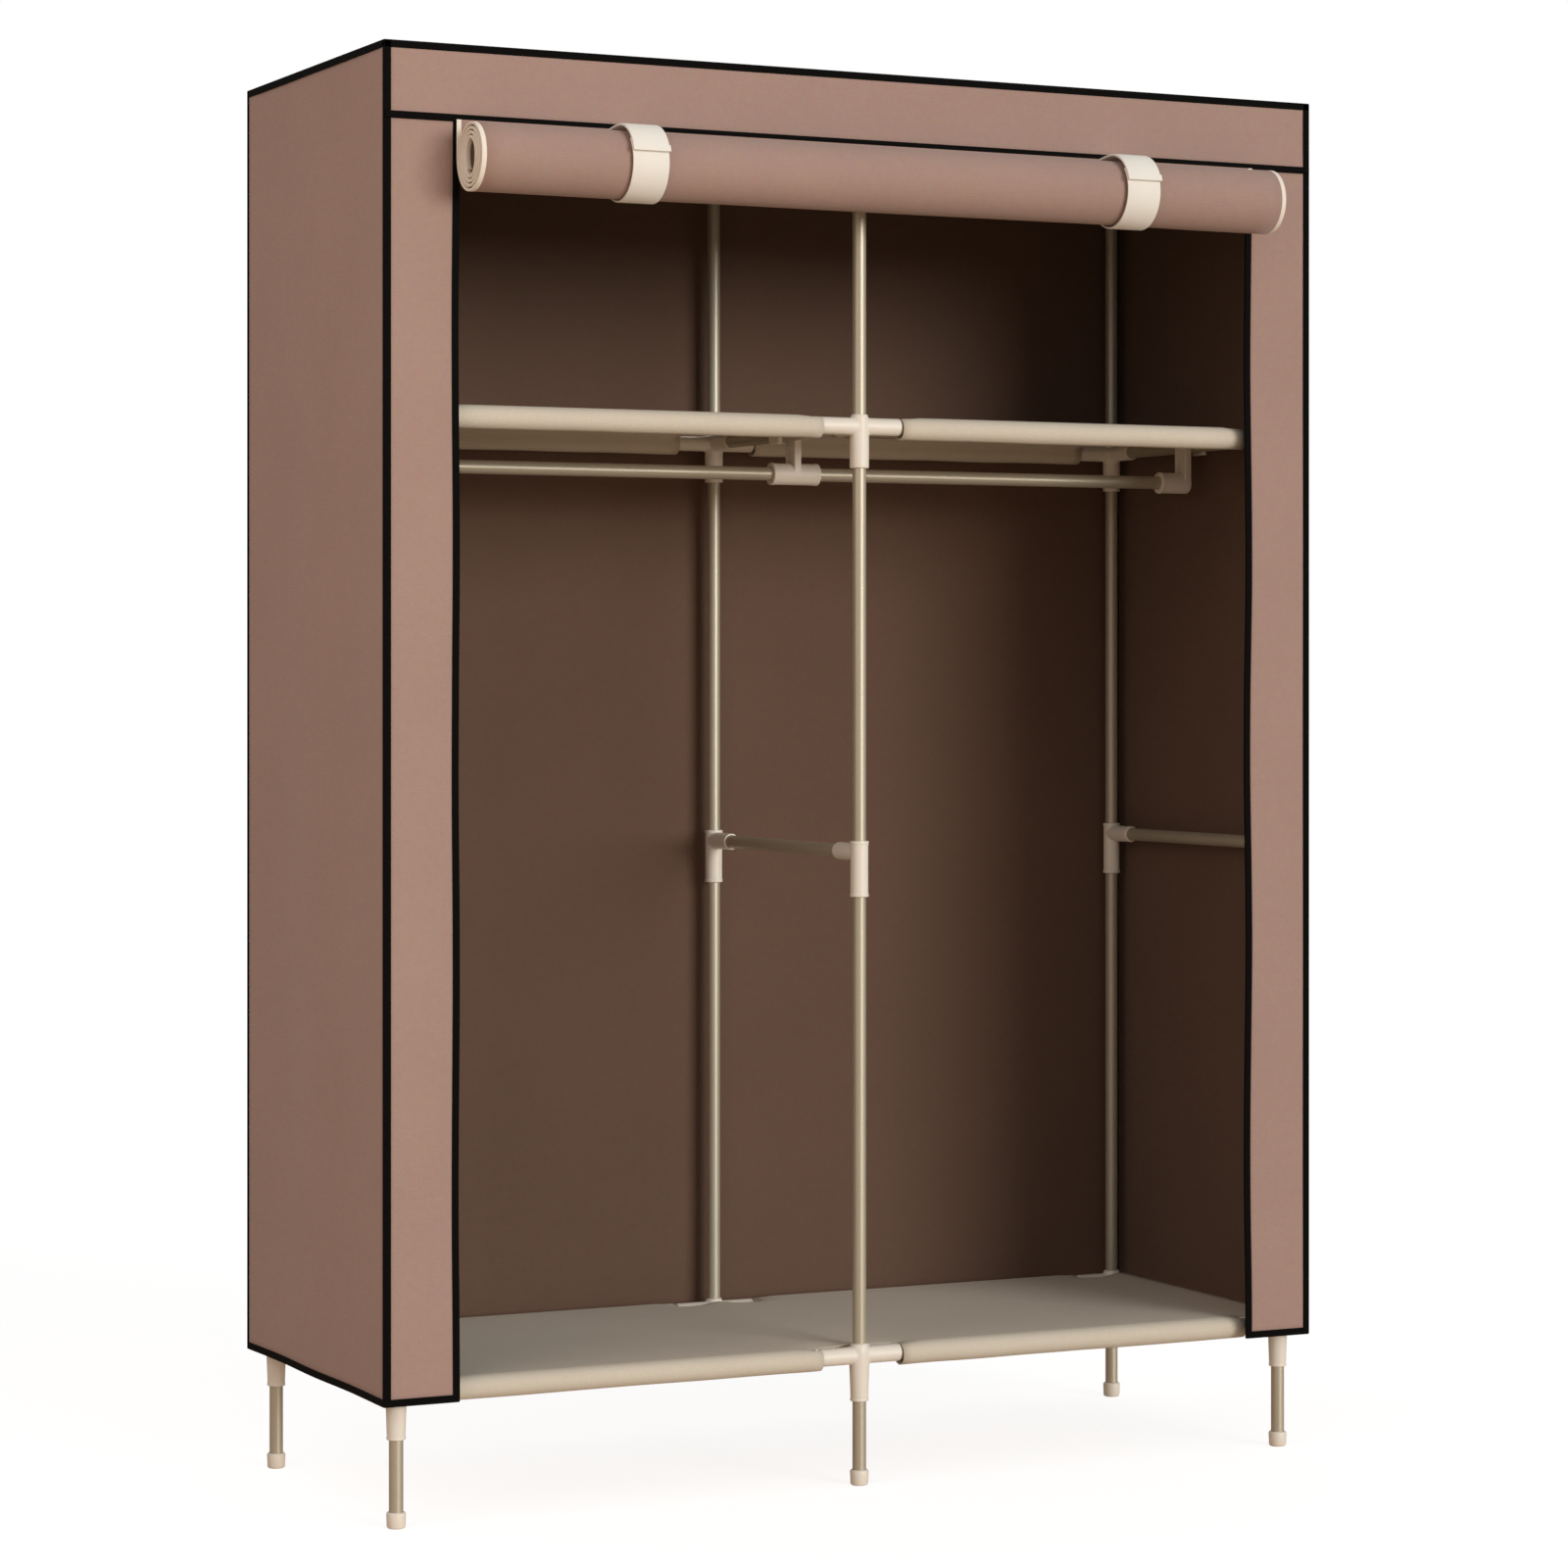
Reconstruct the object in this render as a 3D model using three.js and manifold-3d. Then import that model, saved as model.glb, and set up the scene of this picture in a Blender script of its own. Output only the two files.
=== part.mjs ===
// Portable fabric wardrobe: a push-fit frame of thin steel tubes and moulded connectors, two shelf
// cloths, a hanging rail and a sewn cloth cover whose door is rolled up and held in two strap loops.
// Millimetres, +Z up. The origin is on the floor, under the middle of the outline, roll included.
// The front faces -Y. The wardrobe is drawn with y = 0 at the face of its front cloth.

import * as THREE from "three";
import { mergeVertices } from "three/addons/utils/BufferGeometryUtils.js";
import Module from "manifold-3d";

const wasm = await Module();
wasm.setup();

// Sewn cover
const COVER_WIDTH = 1200;
const COVER_DEPTH = 460;
const COVER_HEIGHT = 1500;
const HEM_HEIGHT = 140; // floor to the cover's lower hem
const HEADER_HEIGHT = 85;
const FLAP_WIDTH = 88;
const CLOTH = 1.2;
const SEAM_THICKNESS = 3; // the bound seam that the door and its straps hang from
const SEAM_HEIGHT = 8;
const FOLD_DEPTH = 3.5; // of the soft folds between the cover's seams, at their deepest
const FOLD_HALF_WAVE_SHARE = 0.85; // how much of a half wave lies between the top and the hem
const SIDE_FOLDS = 2;
const BACK_FOLDS = 5;
const FLAP_DRAW = 4; // how far a flap's free edge is drawn in
const FLAP_WAVES = 3; // down a flap's free edge

// Steel tubes
const TUBE_RADIUS = 8;
const TUBE_WALL = 0.6;
const COLUMN_INSET_X = 25; // cover's side to the axis of a corner upright
const COLUMN_INSET_Y = 30; // cover's face to the axis of an upright

// Heights of the tube axes above the floor
const BOTTOM_LEVEL = 151;
const MID_LEVEL = 737;
const SHELF_LEVEL = 1233;

// Clearances
const SEAT_GAP = 0.3; // between pieces that touch
const OVERRUN = 5; // how far a cutter runs past the face that it opens

// Moulded connectors
const ARM_WALL = 1.9;
const ARM_LENGTH = 52; // column axis to the mouth of an arm
const SOCKET_FLOOR = 3;
const STEM_WALL = 3;
const STEM_LENGTH = 49; // arm axis down to the stem's mouth
const BOSS_WALL = 1.3; // the boss tapers to this round the upright
const BOSS_HEIGHT = 4; // what stands above the arms
const BOSS_SHOULDER = 5; // arm axis up to where the taper starts
const MID_WALL = 2.2;
const LIP_RISE = 0.7;
const LIP_LENGTH = 4;
const LEG_SOCKET_LENGTH = 53;
const LEG_SOCKET_WALL = 2; // at the leg socket's mouth
const LEG_SOCKET_FLARE = 1.8; // the leg socket is wider at its top
const MID_SLEEVE_RISE = 13;
const MID_SLEEVE_DROP = 52;

// Feet
const FOOT_HEIGHT = 18;
const FOOT_WALL = 3.1;
const FOOT_FLOOR = 3;
const FOOT_TAPER = 0.7; // the foot is narrower at the floor
const FOOT_BEVEL = 1.5;

// Hanging rail and its brackets
const ROD_DROP = 47; // depth tube's axis down to the rod's axis
const BARREL_WALL = 4.7;
const BARREL_LENGTH = 62;
const BARREL_STOP = 3;
const CAP_LENGTH = 41;
const CAP_FLOOR = 4;
const HANGER_WIDTH = 26; // along the depth tube
const HANGER_STEM = 9;
const HANGER_PRONG = 6;
const PRONG_DROP = 11;
const HANGER_ROUND = 3.5;

// Shelf cloths
const SLEEVE_SLACK = 2; // each side of an arm, inside a sewn sleeve
const SLEEVE_SAG = 3; // below an arm, inside the sleeve
const NOTCH_EASE = 4; // round the uprights
const SIDE_OVERHANG = 10; // past the axis of the outer depth tubes

// Rolled door
const ROLL_RADIUS = 40;
const ROLL_DROP = 42.5; // header's lower edge down to the roll's axis
const CORE_HALF_HEIGHT = 18.5;
const CORE_OVAL_SHARE = 0.67;
const DOOR_LAP = 4; // over each flap
const DOOR_SEAM_RISE = 7; // how far the door's top edge is lapped over the header seam

// Hook-and-loop straps
const STRAP_WIDTH = 44;
const STRAP_THICKNESS = 2;
const STRAP_SPACING = 634;
const STRAP_ROOT_GAP = 0.6; // room for the tab to turn at its stitching
const TAB_END_ANGLE = 15; // degrees above the roll's axis, on its front
const TAIL_END_ANGLE = 38;

// Facets
const ROUND_SIDES = 12;
const TURN_STEPS = 24;
const STRAP_STEPS = 9; // per quarter turn
const FOLD_STEPS = 4; // across each soft fold
const DROP_STEPS = 8; // down the cover's sides and back
const WAVE_STEPS = 8; // down each wave of a flap
const FLAP_STEPS = 3; // across a flap

// Worked out from the sizes above
const bore = TUBE_RADIUS + SEAT_GAP;
const armRadius = bore + ARM_WALL;
const stemRadius = bore + STEM_WALL;
const legSocketRadius = bore + LEG_SOCKET_WALL;
const midRadius = bore + MID_WALL;
const seat = bore + SOCKET_FLOOR + SEAT_GAP; // column axis to the end of a tube in an arm
const columnX = COVER_WIDTH / 2 - COLUMN_INSET_X;
const frontY = COLUMN_INSET_Y;
const rearY = COVER_DEPTH - COLUMN_INSET_Y;
const coverTop = HEM_HEIGHT + COVER_HEIGHT;
const headerEdge = coverTop - HEADER_HEIGHT;
const underTop = coverTop - CLOTH - SEAT_GAP;
const topLevel = underTop - armRadius;
const panelLevel = armRadius + SEAT_GAP; // a shelf's underside, over the axes of its tubes
const sleeveTop = panelLevel + CLOTH;
const sleeveLow = -(armRadius + SLEEVE_SAG + CLOTH);
const sleeveReach = armRadius + SLEEVE_SLACK + CLOTH;
const rollY = -(SEAM_THICKNESS + SEAT_GAP + ROLL_RADIUS);
const rollZ = headerEdge - ROLL_DROP;
const tailInner = ROLL_RADIUS + SEAT_GAP;
const tailOuter = tailInner + STRAP_THICKNESS;
const tabInner = tailOuter + SEAT_GAP;
const tabOuter = tabInner + STRAP_THICKNESS;
const tabReach = tabOuter * Math.cos(THREE.MathUtils.degToRad(TAB_END_ANGLE));
const frontReach = Math.max(tailOuter, tabReach) - rollY; // front cloth to a strap's front
const doorWidth = COVER_WIDTH - 2 * FLAP_WIDTH + 2 * DOOR_LAP;

const columns = [
  { name: "front_left", x: -columnX, y: frontY, arms: [1], inward: 1 },
  { name: "front_middle", x: 0, y: frontY, arms: [-1, 1], inward: 1 },
  { name: "front_right", x: columnX, y: frontY, arms: [-1], inward: 1 },
  { name: "rear_left", x: -columnX, y: rearY, arms: [1], inward: -1 },
  { name: "rear_middle", x: 0, y: rearY, arms: [-1, 1], inward: -1, legless: true },
  { name: "rear_right", x: columnX, y: rearY, arms: [-1], inward: -1 },
];
const ladders = [
  { name: "left", x: -columnX, arms: [1] },
  { name: "middle", x: 0, arms: [-1, 1] },
  { name: "right", x: columnX, arms: [-1] },
];
const rows = [
  { name: "front", y: frontY },
  { name: "rear", y: rearY },
];

const paintedSteel = new THREE.MeshStandardMaterial({ color: 0xb5ad9b, roughness: 0.38, metalness: 0.6 });
const mouldedPlastic = new THREE.MeshStandardMaterial({ color: 0xe9dfcf, roughness: 0.45, metalness: 0 });
const coverCloth = new THREE.MeshStandardMaterial({ color: 0xa88b7e, roughness: 0.9, metalness: 0 });
const shelfCloth = new THREE.MeshStandardMaterial({ color: 0xd3cbb8, roughness: 0.88, metalness: 0 });
const strapTape = new THREE.MeshStandardMaterial({ color: 0xece4d3, roughness: 0.85, metalness: 0 });

const wardrobe = new THREE.Group();

// A closed geometry as a solid that can be joined and cut.
function solidFrom(geometry) {
  const bare = geometry.clone();
  bare.deleteAttribute("normal");
  bare.deleteAttribute("uv");
  const merged = mergeVertices(bare);
  return new wasm.Manifold(
    new wasm.Mesh({
      numProp: 3,
      vertProperties: new Float32Array(merged.attributes.position.array),
      triVerts: new Uint32Array(merged.index.array),
    }),
  );
}

// Adds one named piece, with its own origin at the given place.
function place(name, shape, material, x = 0, y = 0, z = 0) {
  const made = shape.getMesh();
  const geometry = new THREE.BufferGeometry();
  geometry.setAttribute("position", new THREE.BufferAttribute(made.vertProperties, 3));
  geometry.setIndex(new THREE.BufferAttribute(made.triVerts, 1));
  geometry.computeVertexNormals();
  const mesh = new THREE.Mesh(geometry, material);
  mesh.name = name;
  mesh.position.set(x, y, z);
  wardrobe.add(mesh);
}

const turnTo = {
  x: (geometry) => geometry.rotateZ(-Math.PI / 2),
  y: (geometry) => geometry,
  z: (geometry) => geometry.rotateX(Math.PI / 2),
};

// A round bar along one axis, from its low end to its high end.
function bar(axis, radius, low, high, highRadius = radius) {
  const geometry = new THREE.CylinderGeometry(highRadius, radius, high - low, ROUND_SIDES);
  geometry.translate(0, (low + high) / 2, 0);
  return solidFrom(turnTo[axis](geometry));
}

// A bar that runs out from a column's axis, to either side of it.
function armBar(axis, side, radius, near, far) {
  return side > 0 ? bar(axis, radius, near, far) : bar(axis, radius, -far, -near);
}

// An open steel tube along one axis.
function steelTube(axis, low, high) {
  const outside = bar(axis, TUBE_RADIUS, low, high);
  return outside.subtract(bar(axis, TUBE_RADIUS - TUBE_WALL, low - OVERRUN, high + OVERRUN));
}

// A block between a low and a high value on each axis, in as many cells as asked. Its faces lie
// exactly at those values, so that blocks that share a face fit. `drape` can move its points.
function block(width, depth, height, cells = [1, 1, 1], drape = (point) => point) {
  const geometry = new THREE.BoxGeometry(1, 1, 1, ...cells);
  const { position } = geometry.attributes;
  const point = new THREE.Vector3();
  const between = ([low, high], share) => low * (1 / 2 - share) + high * (1 / 2 + share);
  for (let corner = 0; corner < position.count; corner += 1) {
    point.fromBufferAttribute(position, corner);
    point.set(between(width, point.x), between(depth, point.y), between(height, point.z));
    position.setXYZ(corner, ...drape(point));
  }
  return solidFrom(geometry);
}

function join(shapes) {
  return shapes.reduce((whole, shape) => whole.add(shape));
}

// Runs an outline drawn in y and z along the wardrobe's width, centred on x = 0.
function alongWidth(outline, width) {
  const shape = new THREE.Shape(outline);
  const geometry = new THREE.ExtrudeGeometry(shape, { depth: width, bevelEnabled: false });
  const acrossToSpace = new THREE.Matrix4().makeBasis(
    new THREE.Vector3(0, 1, 0),
    new THREE.Vector3(0, 0, 1),
    new THREE.Vector3(1, 0, 0),
  );
  geometry.applyMatrix4(acrossToSpace);
  geometry.translate(-width / 2, 0, 0);
  return solidFrom(geometry);
}

// Runs an outline drawn in x and z along the wardrobe's depth, centred on y = 0.
function alongDepth(shape, depth) {
  const geometry = new THREE.ExtrudeGeometry(shape, {
    depth,
    bevelEnabled: false,
    curveSegments: ROUND_SIDES / 2,
  });
  geometry.rotateX(Math.PI / 2);
  geometry.translate(0, depth / 2, 0);
  return solidFrom(geometry);
}

// A moulded connector round an upright: a stem, a boss that tapers to the upright, and one arm to
// each tube that plugs in. The arms are blind sockets, and the upright runs through.
function connector({ arms, inward }, stem, stemMouthRadius, stemTopRadius = stemMouthRadius) {
  const body = [
    bar("z", stemMouthRadius, -stem, 0, stemTopRadius),
    bar("z", stemTopRadius, 0, BOSS_SHOULDER),
    bar("z", stemTopRadius, BOSS_SHOULDER, armRadius + BOSS_HEIGHT, bore + BOSS_WALL),
    armBar("y", inward, armRadius, 0, ARM_LENGTH),
    ...arms.map((side) => armBar("x", side, armRadius, 0, ARM_LENGTH)),
  ];
  const socketStart = seat - SEAT_GAP;
  const socketEnd = ARM_LENGTH + OVERRUN;
  const sockets = [
    armBar("y", inward, bore, socketStart, socketEnd),
    ...arms.map((side) => armBar("x", side, bore, socketStart, socketEnd)),
  ];
  return join(body).subtract(join(sockets));
}

function cutUprightBore(shape, low) {
  return shape.subtract(bar("z", bore, low, armRadius + BOSS_HEIGHT + OVERRUN));
}

function shelfConnector(column) {
  return cutUprightBore(connector(column, STEM_LENGTH, stemRadius), -STEM_LENGTH - OVERRUN);
}

// The rear middle column ends in its connector. The others go on into a flared leg socket.
function bottomConnector(column) {
  if (column.legless) {
    return cutUprightBore(connector(column, armRadius, stemRadius), -armRadius + SOCKET_FLOOR);
  }
  const topRadius = legSocketRadius + LEG_SOCKET_FLARE;
  const shape = connector(column, LEG_SOCKET_LENGTH, legSocketRadius, topRadius);
  return cutUprightBore(shape, -LEG_SOCKET_LENGTH - OVERRUN);
}

// A rung that joins a front and a rear upright, with a moulded sleeve at each end of its tube.
// The sleeves have a raised lip at both ends. It is drawn about the middle of its tube.
function midRung() {
  const reach = (rearY - frontY) / 2;
  const lip = midRadius + LIP_RISE;
  const sleeve = (side) =>
    join([
      bar("z", midRadius, -MID_SLEEVE_DROP, MID_SLEEVE_RISE),
      bar("z", lip, -MID_SLEEVE_DROP, -MID_SLEEVE_DROP + LIP_LENGTH),
      bar("z", lip, MID_SLEEVE_RISE - LIP_LENGTH, MID_SLEEVE_RISE),
      armBar("y", -side, armRadius, 0, ARM_LENGTH),
    ]).translate(0, side * reach, 0);
  const through = (side) =>
    bar("z", bore, -MID_SLEEVE_DROP - OVERRUN, MID_SLEEVE_RISE + OVERRUN).translate(0, side * reach, 0);
  const hollow = bar("y", TUBE_RADIUS - TUBE_WALL, -reach, reach);
  return join([sleeve(-1), sleeve(1), bar("y", TUBE_RADIUS, -reach, reach)])
    .subtract(hollow)
    .subtract(through(-1))
    .subtract(through(1));
}

// The top frame's rung: its end connectors hold the uprights from below and the width tubes across.
function topRung({ arms }) {
  const reach = (rearY - frontY) / 2;
  const uprightStop = -(bore + SOCKET_FLOOR);
  const end = (side) => {
    const body = join([
      bar("z", stemRadius, -STEM_LENGTH, BOSS_SHOULDER),
      bar("z", stemRadius, BOSS_SHOULDER, armRadius, bore + BOSS_WALL),
      armBar("y", -side, armRadius, 0, ARM_LENGTH),
      ...arms.map((way) => armBar("x", way, armRadius, 0, ARM_LENGTH)),
    ]);
    return body.translate(0, side * reach, 0);
  };
  const cuts = (side) => {
    const across = arms.map((way) => armBar("x", way, bore, -SEAT_GAP, ARM_LENGTH + OVERRUN));
    const upright = bar("z", bore, -STEM_LENGTH - OVERRUN, uprightStop);
    return join([upright, ...across]).translate(0, side * reach, 0);
  };
  return join([end(-1), end(1), bar("y", TUBE_RADIUS, -reach, reach)])
    .subtract(bar("y", TUBE_RADIUS - TUBE_WALL, -reach, reach))
    .subtract(cuts(-1))
    .subtract(cuts(1));
}

// A push-on foot: a cup with a bevelled lip that tapers to the floor.
function foot() {
  const lip = TUBE_RADIUS + FOOT_WALL;
  const cup = join([
    bar("z", lip - FOOT_TAPER - FOOT_BEVEL, 0, FOOT_BEVEL, lip - FOOT_TAPER),
    bar("z", lip - FOOT_TAPER, FOOT_BEVEL, FOOT_HEIGHT - FOOT_BEVEL, lip),
    bar("z", lip, FOOT_HEIGHT - FOOT_BEVEL, FOOT_HEIGHT, lip - FOOT_BEVEL),
  ]);
  return cup.subtract(bar("z", bore, FOOT_FLOOR, FOOT_HEIGHT + OVERRUN));
}

// The J-shaped hook that hangs over a depth tube, drawn about the tube's axis, with its stem at +x.
function hanger() {
  const top = panelLevel - SEAT_GAP;
  const left = -(bore + HANGER_PRONG);
  const right = bore + HANGER_STEM;
  const outline = new THREE.Shape();
  outline.moveTo(left, -PRONG_DROP);
  outline.lineTo(-bore, -PRONG_DROP);
  outline.lineTo(-bore, 0);
  outline.absarc(0, 0, bore, Math.PI, 0, true);
  outline.lineTo(bore, -ROD_DROP);
  outline.lineTo(right, -ROD_DROP);
  outline.lineTo(right, top - HANGER_ROUND);
  outline.absarc(right - HANGER_ROUND, top - HANGER_ROUND, HANGER_ROUND, 0, Math.PI / 2, false);
  outline.lineTo(left + HANGER_ROUND, top);
  outline.absarc(left + HANGER_ROUND, top - HANGER_ROUND, HANGER_ROUND, Math.PI / 2, Math.PI, false);
  outline.closePath();
  return alongDepth(outline, HANGER_WIDTH);
}

const barrelRadius = bore + BARREL_WALL;
const barrelCentre = bore + HANGER_STEM / 2;

// A barrel or cup for a rod, with a raised lip at its open ends.
function lippedBarrel(low, high, mouths) {
  const lips = mouths.map((mouth) => {
    const inner = mouth === low ? low + LIP_LENGTH : high - LIP_LENGTH;
    return bar("x", barrelRadius + LIP_RISE, Math.min(mouth, inner), Math.max(mouth, inner));
  });
  return join([bar("x", barrelRadius, low, high), ...lips]).translate(0, 0, -ROD_DROP);
}

// The middle bracket's barrel takes a rod at each end, up to a stop in its middle.
function middleBracket() {
  const low = barrelCentre - BARREL_LENGTH / 2;
  const high = barrelCentre + BARREL_LENGTH / 2;
  const left = bar("x", bore, low - OVERRUN, barrelCentre - BARREL_STOP / 2);
  const right = bar("x", bore, barrelCentre + BARREL_STOP / 2, high + OVERRUN);
  return hanger()
    .add(lippedBarrel(low, high, [low, high]))
    .subtract(left.translate(0, 0, -ROD_DROP))
    .subtract(right.translate(0, 0, -ROD_DROP));
}

// An end bracket's cup takes one rod. It is drawn for the left ladder and mirrored for the right.
function endBracket() {
  const mouth = bore + CAP_LENGTH;
  const cup = lippedBarrel(bore, mouth, [mouth]);
  const socket = bar("x", bore, bore + CAP_FLOOR, mouth + OVERRUN);
  return hanger().add(cup).subtract(socket.translate(0, 0, -ROD_DROP));
}

// A shelf cloth: a panel over the depth tubes, sewn into open sleeves round the width tubes.
// It is cut away round the uprights and their connectors. Its z = 0 is the tubes' axis.
function shelf() {
  const armEnd = ARM_LENGTH + SEAT_GAP;
  const side = columnX + SIDE_OVERHANG;
  const notch = stemRadius + NOTCH_EASE;
  const bays = [
    [-columnX + armEnd, -armEnd],
    [armEnd, columnX - armEnd],
  ];
  // Baggy sleeves, whose tops are level with the panel
  const sleeves = (inset, overrun) =>
    rows.flatMap(({ y }) =>
      bays.map(([low, high]) => {
        const middle = (sleeveTop + sleeveLow) / 2;
        const halfHeight = (sleeveTop - sleeveLow) / 2 - inset;
        const round = new THREE.EllipseCurve(y, middle, sleeveReach - inset, halfHeight);
        const outline = round.getPoints(ROUND_SIDES).slice(1);
        return alongWidth(outline, high - low + 2 * overrun).translate((low + high) / 2, 0, 0);
      }),
    );
  const panel = block([-side, side], [frontY, rearY], [panelLevel, sleeveTop]);
  const cutDepths = [
    [frontY - OVERRUN, frontY + notch],
    [rearY - notch, rearY + OVERRUN],
  ];
  const cutWidths = [
    [-side - OVERRUN, -columnX + armEnd],
    [-armEnd, armEnd],
    [columnX - armEnd, side + OVERRUN],
  ];
  const cuts = cutDepths.flatMap((depth) =>
    cutWidths.map((width) => block(width, depth, [panelLevel - OVERRUN, sleeveTop + OVERRUN])),
  );
  const body = join([panel.subtract(join(cuts)), ...sleeves(0, 0)]);
  return body.subtract(join(sleeves(CLOTH, OVERRUN)));
}

// How deep a soft fold lies between two seams of the cover: nothing at the seams and at the top,
// deepest below the middle, and less again at the hem, which its tape holds straighter.
function foldDepth(across, [low, high], folds, z) {
  const share = (across - low) / (high - low);
  const drop = (underTop - z) / (underTop - HEM_HEIGHT);
  const deep = Math.sin(Math.PI * FOLD_HALF_WAVE_SHARE * drop);
  return FOLD_DEPTH * deep * Math.sin(Math.PI * folds * share) ** 2;
}

// The sides and the back, cut from one length of cloth. The top is laid over them.
function coverWrap() {
  const half = COVER_WIDTH / 2;
  const inside = half - CLOTH;
  const depth = [CLOTH + SEAT_GAP, COVER_DEPTH - CLOTH];
  const height = [HEM_HEIGHT, underTop];
  const sideCells = [1, SIDE_FOLDS * FOLD_STEPS, DROP_STEPS];
  const backCells = [BACK_FOLDS * FOLD_STEPS, 1, DROP_STEPS];
  const left = block([-half, -inside], depth, height, sideCells, (point) =>
    point.setX(point.x + foldDepth(point.y, depth, SIDE_FOLDS, point.z)),
  );
  const back = block([-half, half], [depth[1], COVER_DEPTH], height, backCells, (point) =>
    point.setY(point.y - foldDepth(point.x, [-half, half], BACK_FOLDS, point.z)),
  );
  return join([left, left.mirror([1, 0, 0]), back]);
}

// The front cloth: the top, the header and the two flaps, with the thick bound seam along the
// header's lower edge. A flap's free edge is drawn in, in long waves.
function coverFront() {
  const half = COVER_WIDTH / 2;
  const opening = half - FLAP_WIDTH;
  const cloth = [0, CLOTH];
  const top = block([-half, half], [0, COVER_DEPTH], [coverTop - CLOTH, coverTop]);
  const header = block([-half, half], cloth, [headerEdge, coverTop]);
  const seam = block([-half, half], [-SEAM_THICKNESS, CLOTH], [headerEdge, headerEdge + SEAM_HEIGHT]);
  const cells = [FLAP_STEPS, 1, FLAP_WAVES * WAVE_STEPS];
  const flap = block([-half, -opening], cloth, [HEM_HEIGHT, headerEdge], cells, (point) => {
    const free = (point.x + half) / FLAP_WIDTH;
    const wave = Math.sin((Math.PI * FLAP_WAVES * (headerEdge - point.z)) / (headerEdge - HEM_HEIGHT));
    return point.setY(point.y + FLAP_DRAW * free * wave ** 2);
  });
  return join([header, flap, flap.mirror([1, 0, 0]), top, seam]);
}

// The door's web is the stretch that hangs from the header seam down to the roll.
// y and z are from the roll's axis, as they are for the roll and the straps.
function doorWeb() {
  const depth = [ROLL_RADIUS - CLOTH, ROLL_RADIUS];
  return block([-doorWidth / 2, doorWidth / 2], depth, [SEAT_GAP, ROLL_DROP + DOOR_SEAM_RISE]);
}

// One side of the rolled door's cloth, from the web down, round and in to the core.
// Its turns start round and get oval towards the core.
const meanRadius = (ROLL_RADIUS + CORE_HALF_HEIGHT) / 2;
const meanRoundness = (3 + CORE_OVAL_SHARE) / 4; // an oval's girth against its taller circle's
const woundLength = COVER_HEIGHT - HEADER_HEIGHT - ROLL_DROP;
const doorTurns = woundLength / (2 * Math.PI * meanRadius * meanRoundness);
function doorSide(inset) {
  const steps = Math.round(doorTurns * TURN_STEPS);
  const side = [];
  for (let step = 0; step <= steps; step += 1) {
    const wound = step / steps;
    const angle = -2 * Math.PI * doorTurns * wound;
    const radius = ROLL_RADIUS - (ROLL_RADIUS - CORE_HALF_HEIGHT - CLOTH) * wound;
    const narrowed = 1 - (1 - CORE_OVAL_SHARE) * wound;
    side.push(
      new THREE.Vector2(
        (radius * narrowed - inset) * Math.cos(angle),
        (radius - inset) * Math.sin(angle),
      ),
    );
  }
  return side;
}

function rolledDoor() {
  return alongWidth([...doorSide(0), ...doorSide(CLOTH).reverse()], doorWidth);
}

// The least gap from one turn of the roll to the next, measured on the outline's points.
function leastTurnGap() {
  const outside = doorSide(0);
  let least = ROLL_RADIUS;
  doorSide(CLOTH).forEach((point, step) => {
    for (const other of outside.slice(step + TURN_STEPS / 2)) {
      least = Math.min(least, point.distanceTo(other));
    }
  });
  return least;
}

// Points on an arc about the roll's axis, in degrees anticlockwise from the back.
function arcPoints(radius, from, to) {
  const steps = Math.ceil((Math.abs(to - from) / 90) * STRAP_STEPS);
  return Array.from({ length: steps + 1 }, (_, step) => {
    const angle = THREE.MathUtils.degToRad(from + ((to - from) * step) / steps);
    return new THREE.Vector2(radius * Math.cos(angle), radius * Math.sin(angle));
  });
}

// The long strap tail: down behind the roll, under it and up its front, to lie under the tab.
function strapTail() {
  const top = ROLL_DROP - SEAT_GAP;
  const end = -180 - TAIL_END_ANGLE;
  const outline = [
    new THREE.Vector2(tailInner, top),
    ...arcPoints(tailInner, 0, end),
    ...arcPoints(tailOuter, end, 0),
    new THREE.Vector2(tailOuter, top),
  ];
  return alongWidth(outline, STRAP_WIDTH);
}

// The short tab: from its stitching at the header seam, over the roll and down its upper front.
function strapTab() {
  const root = ROLL_RADIUS - CLOTH - STRAP_ROOT_GAP;
  const end = 180 - TAB_END_ANGLE;
  const outline = [
    new THREE.Vector2(root, tabInner),
    ...arcPoints(tabInner, 90, end),
    ...arcPoints(tabOuter, end, 90),
    new THREE.Vector2(root, tabOuter),
  ];
  return alongWidth(outline, STRAP_WIDTH);
}

// Steel uprights and their feet
const uprightTop = topLevel - bore - SOCKET_FLOOR - SEAT_GAP;
for (const column of columns) {
  const low = column.legless
    ? BOTTOM_LEVEL - armRadius + SOCKET_FLOOR + SEAT_GAP
    : FOOT_FLOOR + SEAT_GAP;
  place(`upright_${column.name}`, steelTube("z", low, uprightTop), paintedSteel, column.x, column.y);
  if (!column.legless) place(`foot_${column.name}`, foot(), mouldedPlastic, column.x, column.y);
}

// Moulded connectors at the bottom and the shelf
for (const column of columns) {
  const { name, x, y } = column;
  place(`bottom_connector_${name}`, bottomConnector(column), mouldedPlastic, x, y, BOTTOM_LEVEL);
  place(`shelf_connector_${name}`, shelfConnector(column), mouldedPlastic, x, y, SHELF_LEVEL);
}

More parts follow.
